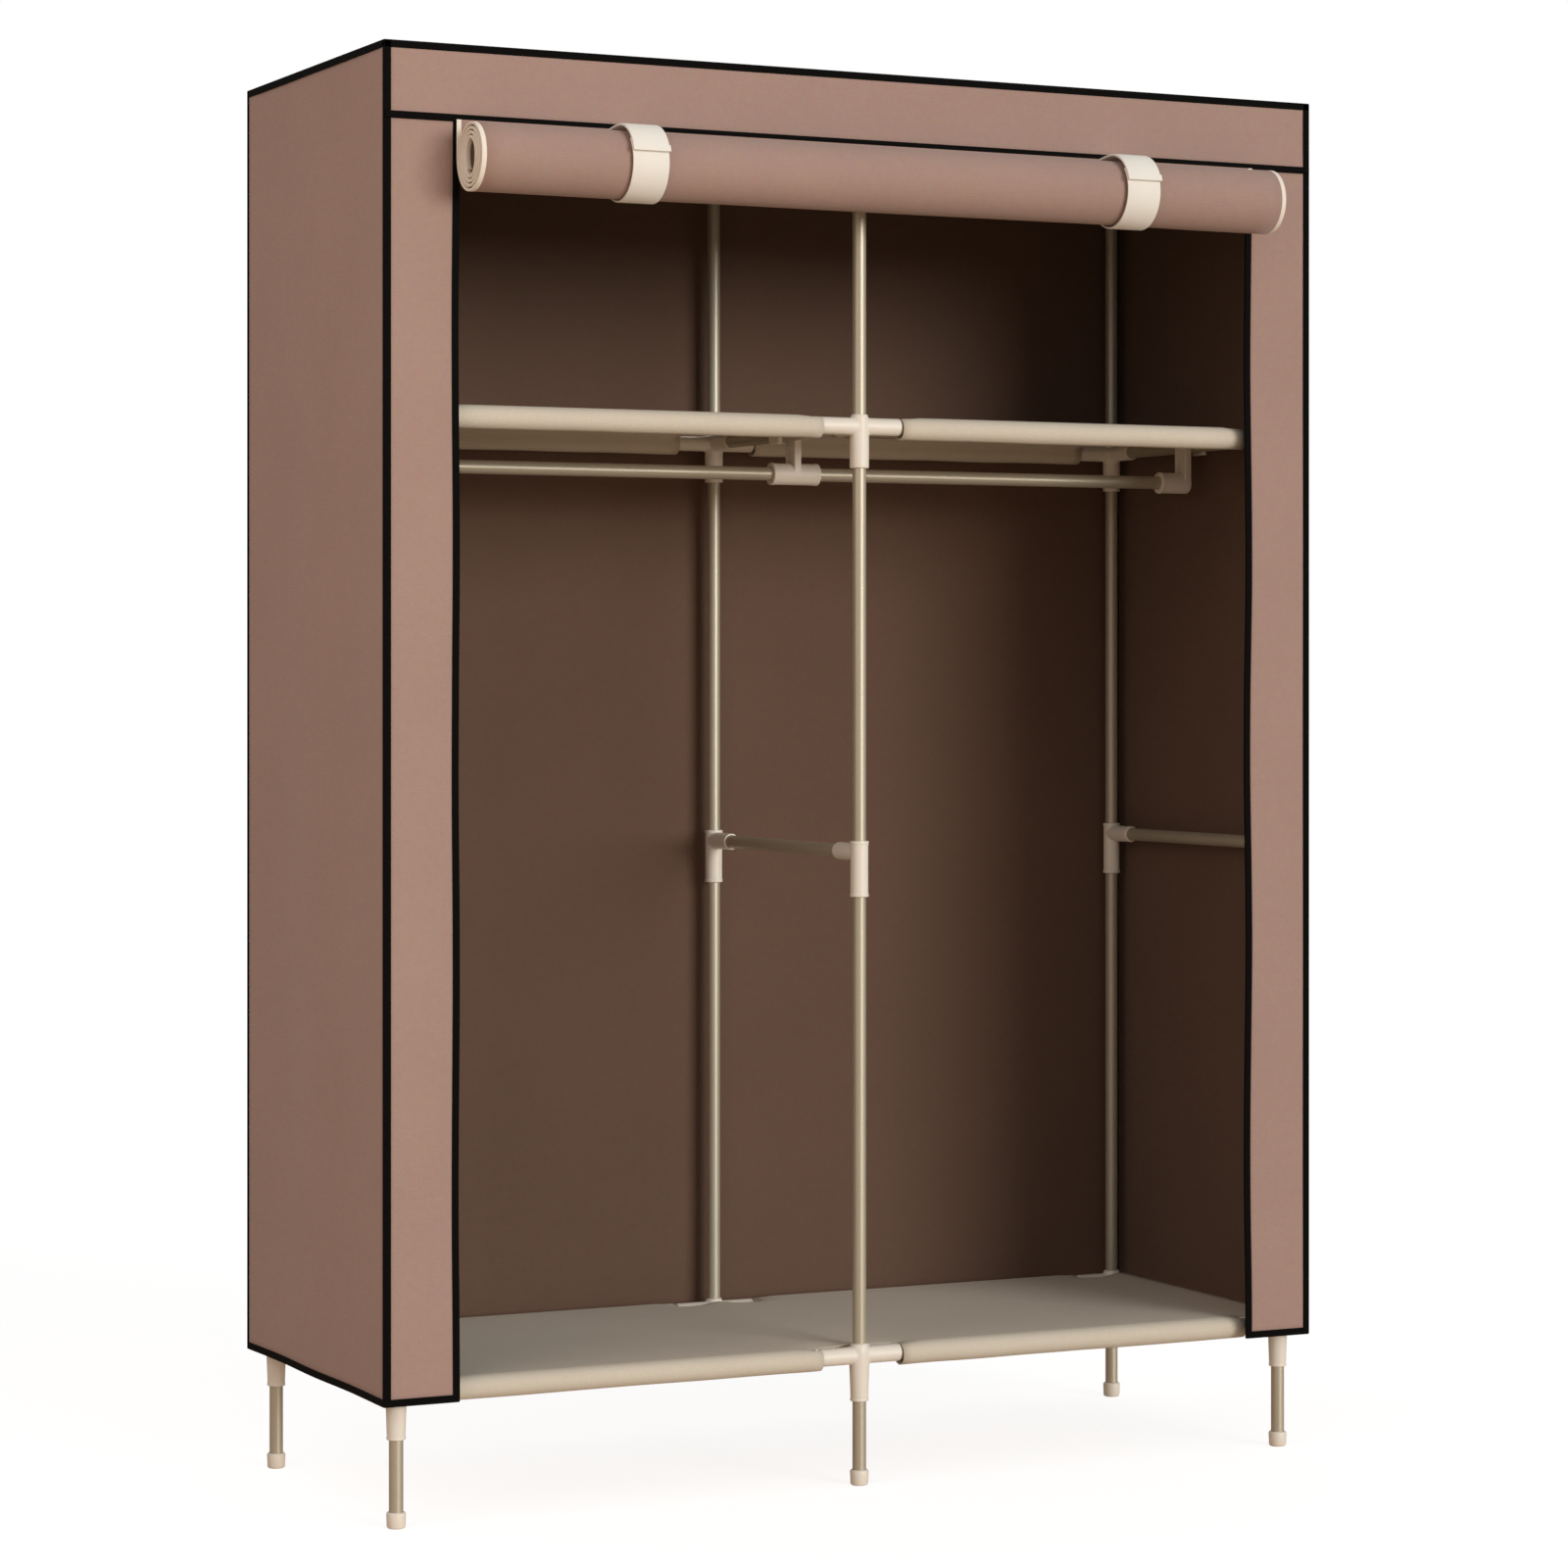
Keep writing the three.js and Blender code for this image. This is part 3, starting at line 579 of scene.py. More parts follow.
def polypropylene(name, colour):
    """Injection-moulded polypropylene: milky, softly glossy, with a spark-eroded grain and a
    little light let into its thin edges."""
    grain_size = 1.2 * MM
    flow_size = 35 * MM
    made, tree = new_material(name)
    place = add(tree, "ShaderNodeTexCoord").outputs["Object"]
    grain = add(
        tree, "ShaderNodeTexNoise", {"Vector": place, "Scale": 1 / grain_size, "Detail": 3.0}
    )
    flow = add(
        tree, "ShaderNodeTexNoise", {"Vector": place, "Scale": 1 / flow_size, "Detail": 2.0}
    )
    warm = [channel * share for channel, share in zip(colour, (0.97, 0.93, 0.86))]
    shade = add(
        tree,
        "ShaderNodeMix",
        {MIX_FACTOR: flow, MIX_FIRST: opaque(warm), MIX_SECOND: opaque(colour)},
        data_type="RGBA",
    )
    gloss = add(tree, "ShaderNodeMapRange", {"Value": flow, "To Min": 0.34, "To Max": 0.5})
    bump = add(
        tree,
        "ShaderNodeBump",
        {"Height": grain, "Strength": 0.15, "Distance": 0.15 * MM},
    )
    shader = add(
        tree,
        "ShaderNodeBsdfPrincipled",
        {
            "Base Color": shade,
            "Roughness": gloss,
            "IOR": 1.49,
            "Subsurface Weight": 0.08,
            "Subsurface Radius": (1.0, 0.8, 0.6),
            "Subsurface Scale": 2 * MM,
            "Normal": bump,
        },
    )
    add(tree, "ShaderNodeOutputMaterial", {"Surface": shader})
    return made


def finish_named(name):
    """The finish of that name, made the first time it is asked for."""
    found = bpy.data.materials.get(name)
    if found:
        return found
    own = colours()
    size = sizes()
    makers = {
        "cover_nonwoven": lambda: nonwoven(name, own.cover),
        # the cloth's inner side, drawn darker as painted shade
        "shaded_inside_nonwoven": lambda: nonwoven(name, own.shaded_inside),
        "door_nonwoven": lambda: nonwoven(name, own.cover, by_object=True),
        "shelf_nonwoven": lambda: nonwoven(name, own.shelf),
        "black_binding_tape": lambda: woven_tape(
            name,
            own.binding,
            rib_pitch=2 * MM,
            stitch_inset=1.5 * MM,
            width=2 * size.binding_leg,
            stitch_shade=1.8,
            sheen=0.0,
            gloss=0.08,
        ),
        "cream_edging_tape": lambda: woven_tape(
            name, own.edging, rib_pitch=2 * MM, stitch_inset=1.4 * MM, width=size.edging
        ),
        "strap_webbing": lambda: woven_tape(
            name, own.strap, rib_pitch=2.4 * MM, stitch_inset=3 * MM, width=2 * STRAP_HALF_WIDTH
        ),
        "powder_coated_steel": lambda: powder_coat(name, own.paint),
        "moulded_polypropylene": lambda: polypropylene(name, own.plastic),
    }
    return makers[name]()


# Making pieces


def new_piece(name, bm, finishes, body="frame", replaces=(), crease=None):
    """Turns a bmesh into a finished object with its materials, that rides on its body."""
    mesh = bpy.data.meshes.new(name)
    bm.to_mesh(mesh)
    bm.free()
    mesh.shade_smooth()
    if crease is not None:
        mesh.set_sharp_from_angle(angle=math.radians(crease))
    for finish in finishes:
        mesh.materials.append(finish_named(finish))
    piece = bpy.data.objects.new(name, mesh)
    bpy.context.scene.collection.objects.link(piece)
    if body:
        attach(piece, body)
    if replaces:
        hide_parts(*replaces)
    return piece


def bake(piece):
    """Gives the piece the mesh that its modifiers make, and drops the modifiers."""
    bpy.context.view_layer.update()
    seen = piece.evaluated_get(bpy.context.evaluated_depsgraph_get())
    mesh = bpy.data.meshes.new_from_object(seen)
    old = piece.data
    piece.modifiers.clear()
    piece.data = mesh
    mesh.name = piece.name
    bpy.data.meshes.remove(old)
    mesh.shade_smooth()


def turned_to(axis, sign=1, at=(0, 0, 0)):
    """Takes an upright shape to lie along an axis, on either side of a point."""
    turns = {
        "X": Matrix.Rotation(sign * math.pi / 2, 4, "Y"),
        "Y": Matrix.Rotation(-sign * math.pi / 2, 4, "X"),
        "Z": Matrix.Identity(4) if sign > 0 else Matrix.Rotation(math.pi, 4, "X"),
    }
    return Matrix.Translation(at) @ turns[axis]


def lathe(bm, outline, matrix, sides=40, closed=False):
    """Spins an outline of (radius, height) points. A closed outline gives a ring or a tube."""
    points = [bm.verts.new((radius, 0, height)) for radius, height in outline]
    pairs = list(zip(points, points[1:]))
    if closed:
        pairs.append((points[-1], points[0]))
    edges = [bm.edges.new(pair) for pair in pairs]
    bmesh.ops.spin(
        bm,
        geom=points + edges,
        cent=(0, 0, 0),
        axis=Z,
        angle=math.tau,
        steps=sides,
        use_merge=True,
    )
    made = [v for v in bm.verts if not v.tag]
    bmesh.ops.remove_doubles(bm, verts=made, dist=MERGE_DISTANCE)
    made = [v for v in bm.verts if not v.tag]
    bmesh.ops.transform(bm, matrix=matrix, verts=made)
    faces = {face for v in made for face in v.link_faces}
    bmesh.ops.recalc_face_normals(bm, faces=list(faces))
    for v in made:
        v.tag = True


def bar_outline(radius, low, high, rounding=EDGE_ROUND):
    """A solid bar with rounded ends, as points from its axis out and back."""
    point = rounding * ROUND_POINT_SHARE
    return [
        (0, low),
        (radius - rounding, low),
        (radius - point, low + point),
        (radius, low + rounding),
        (radius, high - rounding),
        (radius - point, high - point),
        (radius - rounding, high),
        (0, high),
    ]


def plain_outline(radius, low, high):
    """A solid bar with sharp ends, for a bore."""
    return [(0, low), (radius, low), (radius, high), (0, high)]


def slab(bm, low, high, matrix):
    """A block between two corners."""
    low, high = Vector(low), Vector(high)
    made = bmesh.ops.create_cube(bm, size=1)["verts"]
    placed = Matrix.Translation((low + high) / 2) @ Matrix.Diagonal((*(high - low), 1))
    bmesh.ops.transform(bm, matrix=matrix @ placed, verts=made)
    for v in made:
        v.tag = True


def moulded(name, node, bars, bores, lips=(), blocks=(), finish=CONNECTOR_FINISH):
    """Fuses blocks and bars into one moulding with soft inner corners, adds its crisp lips and
    opens its bores. Bars, bores and lips are outlines to spin, each with its place."""
    voxel, softenings = finish
    bm = bmesh.new()
    for low, high, matrix in blocks:
        slab(bm, low, high, matrix)
    for outline, matrix in bars:
        lathe(bm, outline, matrix)
    piece = new_piece(name, bm, ["moulded_polypropylene"], replaces=[node])
    fuse = piece.modifiers.new("fuse", "REMESH")
    fuse.mode = "VOXEL"
    fuse.voxel_size = voxel
    soften = piece.modifiers.new("soften", "SMOOTH")
    soften.factor = 0.5
    soften.iterations = softenings
    bake(piece)
    tools = [(lip, "UNION") for lip in lips] + [(bore, "DIFFERENCE") for bore in bores]
    for (outline, matrix), operation in tools:
        tool_mesh = bpy.data.meshes.new("tool")
        bm = bmesh.new()
        lathe(bm, outline, matrix)
        bm.to_mesh(tool_mesh)
        bm.free()
        tool = bpy.data.objects.new("tool", tool_mesh)
        bpy.context.scene.collection.objects.link(tool)
        joint = piece.modifiers.new("tool", "BOOLEAN")
        joint.operation = operation
        joint.solver = "MANIFOLD"
        joint.object = tool
        bake(piece)
        bpy.data.objects.remove(tool)
    piece.data.materials.clear()
    piece.data.materials.append(finish_named("moulded_polypropylene"))
    piece.data.set_sharp_from_angle(angle=math.radians(MOULDING_CREASE))


def evenly(stops, step):
    """The stops, with even values between them that lie no further apart than the step."""
    rounding = 1e-6
    values = [stops[0]]
    for low, high in zip(stops, stops[1:]):
        count = max(1, math.ceil(abs(high - low) / step - rounding))
        values += [low + (high - low) * at / count for at in range(1, count + 1)]
    return values


def cloth_grid(across, along, place, keep=None, flat=None):
    """A grid of cells whose lines stand at the values of across and along. place(a, b) puts a
    point in space, keep(a, b) says which cells stay, and the flat map holds the cut's own
    metres."""
    bm = bmesh.new()
    columns, rows = len(across), len(along)
    bmesh.ops.create_grid(bm, x_segments=columns - 1, y_segments=rows - 1, size=1)
    flat_map = bm.loops.layers.uv.new(FLAT_MAP)
    cut = {}
    for v in bm.verts:
        column = round((v.co.x + 1) / 2 * (columns - 1))
        row = round((v.co.y + 1) / 2 * (rows - 1))
        cut[v] = (across[column], along[row])
    if keep:
        gone = []
        for face in bm.faces:
            a = sum(cut[v][0] for v in face.verts) / 4
            b = sum(cut[v][1] for v in face.verts) / 4
            if not keep(a, b):
                gone.append(face)
        bmesh.ops.delete(bm, geom=gone, context="FACES")
    for face in bm.faces:
        for loop in face.loops:
            a, b = cut[loop.vert]
            loop[flat_map].uv = flat(a, b) if flat else (a, b)
    for v in bm.verts:
        v.co = place(*cut[v])
    return bm


def thicken(piece, thickness, shaded_inside=False):
    """Gives a sheet its thickness on the side that its faces look away from. Asked to, it puts the
    second material, the darker cloth of painted shade, on that inner side.
    """
    shell = piece.modifiers.new("thickness", "SOLIDIFY")
    shell.thickness = thickness
    shell.offset = -1
    shell.use_even_offset = True
    if shaded_inside:
        shell.material_offset = 1
        shell.material_offset_rim = 0


def swept_tape(bm, path, outline, cornered=False):
    """Runs a closed outline along a path. The path gives, for each stop, a point and the two
    directions that the outline is drawn in. A cornered tape's map goes on round its corner."""
    flat_map = bm.loops.layers.uv.verify()
    rounds = len(outline)
    before = set(bm.verts)
    bmesh.ops.create_grid(bm, x_segments=len(path) - 1, y_segments=rounds, size=1)
    made = [v for v in bm.verts if v not in before]
    steps = ((there - here).length for (here, _, _), (there, _, _) in zip(path, path[1:]))
    travelled = list(itertools.accumulate(steps, initial=0.0))
    spot = {}
    for v in made:
        stop = round((v.co.x + 1) / 2 * (len(path) - 1))
        turn = round((v.co.y + 1) / 2 * rounds)
        spot[v] = (stop, turn)
    faces = {face for v in made for face in v.link_faces}
    for face in faces:
        for loop in face.loops:
            stop, turn = spot[loop.vert]
            a, b = outline[turn % rounds]
            loop[flat_map].uv = (travelled[stop], b - a if cornered else a)
    for v in made:
        stop, turn = spot[v]
        point, along_a, along_b = path[stop]
        a, b = outline[turn % rounds]
        v.co = point + a * along_a + b * along_b
    bmesh.ops.remove_doubles(bm, verts=made, dist=MERGE_DISTANCE / 2)
    made = [v for v in bm.verts if v not in before]
    rims = {e for v in made for e in v.link_edges if len(e.link_faces) == 1}
    bmesh.ops.holes_fill(bm, edges=list(rims), sides=0)
    faces = {face for v in made for face in v.link_faces}
    bmesh.ops.recalc_face_normals(bm, faces=list(faces))


def rounded_bar(half_width, low, high, rounding):
    """The outline of a flat tape with rounded edges."""
    wide = half_width - rounding
    point = rounding * ROUND_POINT_SHARE
    return [
        (-wide, low),
        (wide, low),
        (half_width - point, low + point),
        (half_width, low + rounding),
        (half_width, high - rounding),
        (half_width - point, high - point),
        (wide, high),
        (-wide, high),
        (-half_width + point, high - point),
        (-half_width, high - rounding),
        (-half_width, low + rounding),
        (-half_width + point, low + point),
    ]


# The cover's surfaces


def ripple(a, b, size, depth, seed):
    """A gentle unevenness of cloth, from 0 to its depth."""
    return depth * (0.5 + 0.5 * noise.noise(Vector((a / size, b / size, seed))))


def fold_depth(across, low, high, folds, z):
    """How far the cloth between two upright seams is drawn in."""
    share = (across - low) / (high - low)
    drop = (WRAP_HIGH.z - z) / (WRAP_HIGH.z - HEM_Z)
    deep = math.sin(math.pi * FOLD_HALF_WAVE_SHARE * drop)
    loose = min(1.0, SEAM_PULL * share * (1 - share))
    soft = FOLD_DEPTH * deep * math.sin(math.pi * folds * share) ** 2
    return soft + loose * ripple(across, z, size=160 * MM, depth=1.4 * MM, seed=1.5)


def wrap_point(run, z):
    """A point of the sides and back; run goes along the right side, the back and the left."""
    _, right_end, back_end, whole = WRAP_CORNERS
    if run <= right_end:
        y = WRAP_LOW.y + run
        return Vector((HALF_WIDTH - fold_depth(y, WRAP_LOW.y, BACK_Y, SIDE_FOLDS, z), y, z))
    if run <= back_end:
        x = HALF_WIDTH - run + right_end
        return Vector((x, BACK_Y - fold_depth(x, -HALF_WIDTH, HALF_WIDTH, BACK_FOLDS, z), z))
    y = WRAP_LOW.y + whole - run
    return Vector((-HALF_WIDTH + fold_depth(y, WRAP_LOW.y, BACK_Y, SIDE_FOLDS, z), y, z))


def flap_depth(x, z):
    """How far a flap is drawn in towards its free edge."""
    free = min(1.0, (HALF_WIDTH - abs(x)) / FLAP_WIDTH)
    down = (HEADER_Z - z) / DOORWAY_HEIGHT
    wave = math.sin(math.pi * FLAP_WAVES * down) ** 2
    seed = 4.5 * math.copysign(1, x)
    return FLAP_DRAW * free * wave + free * ripple(x, z, size=90 * MM, depth=1.2 * MM, seed=seed)


def front_point(x, run):
    """A point of the front and top; run goes up the front and then back over the top."""
    if run <= FRONT_LENGTH:
        z = HEM_Z + run
        if z < HEADER_Z:
            return Vector((x, FRONT_Y + flap_depth(x, z), z))
        middle = math.sin(math.pi * (z - HEADER_Z) / HEADER_HEIGHT)
        drawn_in = middle * ripple(x, z, size=120 * MM, depth=1.2 * MM, seed=2.5)
        return Vector((x, FRONT_Y + drawn_in, z))
    y = FRONT_Y + run - FRONT_LENGTH
    depth = (y - FRONT_Y) / TOP_LENGTH
    loose = min(1.0, TOP_SEAM_PULL * (HALF_WIDTH - abs(x)) / (2 * HALF_WIDTH))
    loose *= math.sin(math.pi * depth)
    bay = math.sin(math.pi * x / COLUMN_X) ** 2
    sag = TOP_SAG * bay * math.sin(math.pi * depth) ** 2
    drop = sag + loose * ripple(x, y, size=140 * MM, depth=0.8 * MM, seed=7.5)
    return Vector((x, y, TOP_Z - drop))


# Stage


def set_camera(scene):
    """Stands the camera where the photograph was taken from, with its lens."""
    camera_data = bpy.data.cameras.new("photograph_view")
    camera_data.lens = CAMERA_LENS
    camera_data.sensor_width = CAMERA_SENSOR
    camera_data.shift_y = CAMERA_SHIFT
    camera = bpy.data.objects.new("photograph_view", camera_data)
    camera.location = CAMERA_PLACE
    camera.rotation_euler = (math.pi / 2, 0, math.radians(CAMERA_AZIMUTH))
    scene.collection.objects.link(camera)
    scene.camera = camera


def set_lamps(scene):
    """A soft key lamp from the front, and a warm fill lamp that stands near and high on the
    left, so the side it lights gets darker towards the floor."""
    key_data = bpy.data.lights.new("key_lamp", "SUN")
    key_data.angle = math.radians(KEY_SOFTNESS)
    fill_data = bpy.data.lights.new("fill_lamp", "AREA")
    fill_data.size = FILL_SIZE
    for lamp_data, strength, place, turn, tint in (
        (key_data, 2.05, (0, 0, 0), (82, 0, 20), "#fffaf3"),
        (fill_data, 16, (-2.5, -1.2, 2.0), (64, 0, -60), "#ffdfc8"),
    ):
        lamp_data.energy = strength
        lamp_data.color = linear(tint)
        lamp = bpy.data.objects.new(lamp_data.name, lamp_data)
        lamp.location = place
        lamp.rotation_euler = [math.radians(angle) for angle in turn]
        scene.collection.objects.link(lamp)


def set_sky(scene):
    """A soft sky all round, which the camera sees as plain white."""
    world = bpy.data.worlds.new("white_studio")
    scene.world = world
    world.use_nodes = True
    tree = world.node_tree
    tree.nodes.clear()
    seen = add(tree, "ShaderNodeLightPath").outputs["Is Camera Ray"]
    soft = add(tree, "ShaderNodeBackground", {"Color": WHITE, "Strength": SKY_STRENGTH})
    white = add(tree, "ShaderNodeBackground", {"Color": WHITE, "Strength": 1.0})
    mixed = add(tree, "ShaderNodeMixShader", {0: seen, 1: soft, 2: white})
    add(tree, "ShaderNodeOutputWorld", {"Surface": mixed})


def floor_paint(warm):
    """A floor that is seen white, keeps a faint shadow, and throws a warm light back up."""
    made, tree = new_material("studio_floor_paint")
    seen = add(tree, "ShaderNodeLightPath").outputs["Is Camera Ray"]
    surface = add(
        tree,
        "ShaderNodeMix",
        {MIX_FACTOR: seen, MIX_FIRST: opaque(warm), MIX_SECOND: WHITE},
        data_type="RGBA",
    )
    paint = add(
        tree,
        "ShaderNodeBsdfPrincipled",
        {"Base Color": surface, "Roughness": 0.9, "Specular IOR Level": 0.0},
    )
    glow = add(tree, "ShaderNodeEmission", {"Color": WHITE, "Strength": FLOOR_GLOW})
    share = add(tree, "ShaderNodeMath", {0: seen, 1: FLOOR_GLOW_SHARE}, operation="MULTIPLY")
    shown = add(tree, "ShaderNodeMixShader", {0: share, 1: paint, 2: glow})
    add(tree, "ShaderNodeOutputMaterial", {"Surface": shown})
    return made


class WARDROBE_OT_stage(bpy.types.Operator):
    """Set the camera, the two lamps, the white surroundings and the floor"""

    bl_idname = "wardrobe.stage"
    bl_label = "Stage"

    def execute(self, context):
        scene = context.scene
        scene.view_settings.view_transform = "Standard"
        set_camera(scene)
        set_lamps(scene)
        set_sky(scene)
        bm = bmesh.new()
        bmesh.ops.create_grid(bm, x_segments=1, y_segments=1, size=FLOOR_HALF_SIZE)
        mesh = bpy.data.meshes.new("studio_floor")
        bm.to_mesh(mesh)
        bm.free()
        mesh.materials.append(floor_paint(colours().floor))
        floor = bpy.data.objects.new("studio_floor", mesh)
        scene.collection.objects.link(floor)
        return {"FINISHED"}


# Steel tubes


def tube_between(name, node, axis, low, high, at):
    """A hollow tube with deburred ends. at is its axis on the two other directions."""
    size = sizes()
    outer = size.tube_radius
    inner = outer - size.tube_wall
    outline = [
        (inner, low),
        (outer - BURR, low),
        (outer, low + BURR),
        (outer, high - BURR),
        (outer - BURR, high),
        (inner, high),
    ]
    bm = bmesh.new()
    lathe(bm, outline, turned_to(axis, at=at), sides=36, closed=True)
    new_piece(name, bm, ["powder_coated_steel"], replaces=[node], crease=TUBE_CREASE)


def tube_for(node, axis):
    """The tube that a node stands for, as long as the node's box."""
    low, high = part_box(node)
    at = (low + high) / 2
    along = "XYZ".index(axis)
    at[along] = 0
    tube_between(f"{node}_steel", node, axis, low[along], high[along], at)


class WARDROBE_OT_tubes(bpy.types.Operator):
    """Make the uprights, the width and depth tubes and the hanging rods"""

    bl_idname = "wardrobe.tubes"
    bl_label = "Steel tubes"

    def execute(self, context):
        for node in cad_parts:
            if node.startswith("upright_"):
                tube_for(node, "Z")
            elif "depth_tube" in node:
                tube_for(node, "Y")
            elif "width_tube" in node or node in ("rod_left", "rod_right"):
                tube_for(node, "X")
        return {"FINISHED"}


# Connectors

# Each column's side, its depth, the sides its width arms point to, and its depth arm's way
COLUMNS = {
    "front_left": (-1, FRONT_TUBE_Y, (1,), 1),
    "front_middle": (0, FRONT_TUBE_Y, (-1, 1), 1),
    "front_right": (1, FRONT_TUBE_Y, (-1,), 1),
    "rear_left": (-1, REAR_TUBE_Y, (1,), -1),
    "rear_middle": (0, REAR_TUBE_Y, (-1, 1), -1),
    "rear_right": (1, REAR_TUBE_Y, (-1,), -1),
}
LEGLESS = "rear_middle"


def arm_outline():
    """The outside of an arm that a tube plugs into, from its column's axis outwards."""
    return bar_outline(sizes().arm_radius, 0, ARM_LENGTH)


def socket_outline():
    """The blind bore of an arm."""
    bore = sizes().bore_radius
    return plain_outline(bore, bore + SOCKET_FLOOR, ARM_LENGTH + OVERRUN)


def lower_end(radius, low):
    """The lower end of a stem, with its edge eased off."""
    return [(0, low), (radius - EDGE_ROUND, low), (radius, low + EDGE_ROUND)]


def boss_outline(wide):
    """The top of a connector's upright bar: a shoulder that tapers in to the column."""
    size = sizes()
    narrow = size.bore_radius + BOSS_WALL
    top = size.arm_radius + BOSS_HEIGHT
    taper = [
        (wide - (wide - narrow) * inwards, BOSS_SHOULDER + (top - BOSS_SHOULDER) * upwards)
        for inwards, upwards in BOSS_CURVE
    ]
    return [
        (wide, BOSS_SHOULDER),
        *taper,
        (narrow, top - BOSS_EASE_DOWN),
        (narrow - BOSS_EASE_IN, top),
        (0, top),
    ]


def connector_parts(at, arms, inward, stem, through):
    """The bars and bores of a connector: an upright stem, and an arm each way."""
    upright = turned_to("Z", at=at)
    bars = [(stem, upright)]
    bores = [(plain_outline(sizes().bore_radius, *through), upright)]
    for axis, sign in (("Y", inward), *(("X", side) for side in arms)):
        level = turned_to(axis, sign, at)
        bars.append((arm_outline(), level))
        bores.append((socket_outline(), level))
    return bars, bores


def shelf_connector(name, at, arms, inward):
    """A connector that slips over its column, with a stem down it."""
    size = sizes()
    stem = size.stem_radius
    point = EDGE_ROUND * ROUND_POINT_SHARE
    outline = [
        (0, -STEM_LENGTH),
        (stem - EDGE_ROUND, -STEM_LENGTH),
        (stem - point, -STEM_LENGTH + point),
        (stem, -STEM_LENGTH + EDGE_ROUND),
        *boss_outline(stem),
    ]
    through = (-STEM_LENGTH - OVERRUN, size.arm_radius + BOSS_HEIGHT + OVERRUN)
    bars, bores = connector_parts(at, arms, inward, outline, through)
    node = f"shelf_connector_{name}"
    moulded(f"{node}_moulding", node, bars, bores)


def bottom_connector(name, at, arms, inward):
    """A connector with a flared and beaded socket for its leg, or with a floor if it has none."""
    size = sizes()
    lips = []
    if name == LEGLESS:
        low = -size.arm_radius
        start = low + SOCKET_FLOOR
        outline = lower_end(size.stem_radius, low) + boss_outline(size.stem_radius)
    else:
        low = -LEG_SOCKET_LENGTH
        start = low - OVERRUN
        mouth = size.bore_radius + LEG_SOCKET_WALL
        wide = mouth + LEG_SOCKET_FLARE
        outline = [*lower_end(mouth, low), (wide, 0), *boss_outline(wide)]
        bead = bar_outline(mouth + LEG_BEAD, low, low + LEG_BEAD_HEIGHT, LEG_BEAD)
        lips.append((bead, turned_to("Z", at=at)))
    through = (start, size.arm_radius + BOSS_HEIGHT + OVERRUN)
    bars, bores = connector_parts(at, arms, inward, outline, through)
    node = f"bottom_connector_{name}"
    moulded(f"{node}_moulding", node, bars, bores, lips)


class WARDROBE_OT_connectors(bpy.types.Operator):
    """Mould the connectors of the bottom and the shelf level"""

    bl_idname = "wardrobe.connectors"
    bl_label = "Connectors"

    def execute(self, context):
        for name, (side, y, arms, inward) in COLUMNS.items():
            x = side * COLUMN_X
            shelf_connector(name, (x, y, SHELF_Z), arms, inward)
            bottom_connector(name, (x, y, BOTTOM_Z), arms, inward)
        return {"FINISHED"}


# Rungs


def mid_sleeve(node, end, at, inward):
    """A sleeve round a column at mid height, with an arm that takes the rung."""
    bore = sizes().bore_radius
    sleeve = bore + MID_WALL
    lip = sleeve + LIP_RISE
    upright = turned_to("Z", at=at)
    level = turned_to("Y", inward, at)
    moulded(
        f"{node}_{end}_sleeve",
        node,
        bars=[(bar_outline(sleeve, -MID_DROP, MID_RISE), upright), (arm_outline(), level)],
        bores=[
            (plain_outline(bore, -MID_DROP - OVERRUN, MID_RISE + OVERRUN), upright),
            (socket_outline(), level),
        ],
        lips=[
            (bar_outline(lip, -MID_DROP, -MID_DROP + LIP_LENGTH, LIP_ROUND), upright),
            (bar_outline(lip, MID_RISE - LIP_LENGTH, MID_RISE, LIP_ROUND), upright),
        ],
        finish=SLEEVE_FINISH,
    )


def top_fitting(node, end, at, arms, inward):
    """A fitting on top of a column, hidden under the cover and closed above."""
    size = sizes()
    bore = size.bore_radius
    top = size.arm_radius
    outline = [
        *lower_end(size.stem_radius, -STEM_LENGTH),
        (size.stem_radius, BOSS_SHOULDER),
        (bore + BOSS_WALL, top - FITTING_EASE),
        (bore, top),
        (0, top),
    ]
    through = (-STEM_LENGTH - OVERRUN, -(bore + SOCKET_FLOOR))
    bars, bores = connector_parts(at, arms, inward, outline, through)
    moulded(f"{node}_{end}_fitting", node, bars, bores, finish=HIDDEN_FINISH)


class WARDROBE_OT_rungs(bpy.types.Operator):
    """Make the mid-height rungs and the top frame's rungs with their end fittings"""

    bl_idname = "wardrobe.rungs"
    bl_label = "Rungs"

    def execute(self, context):
        seat = sizes().bore_radius + SOCKET_FLOOR + SEAT_GAP
        low, high = FRONT_TUBE_Y + seat, REAR_TUBE_Y - seat
        for ladder, side, arms in (("left", -1, (1,)), ("middle", 0, (-1, 1)), ("right", 1, (-1,))):
            x = side * COLUMN_X
            for level, z in (("mid", MID_Z), ("top", TOP_TUBE_Z)):
                node = f"{level}_rung_{ladder}"
                tube_between(f"{node}_steel", node, "Y", low, high, (x, 0, z))
                for end, y, inward in (("front", FRONT_TUBE_Y, 1), ("rear", REAR_TUBE_Y, -1)):
                    if level == "mid":
                        mid_sleeve(node, end, (x, y, z), inward)
                    else:
                        top_fitting(node, end, (x, y, z), arms, inward)
        return {"FINISHED"}


# Feet


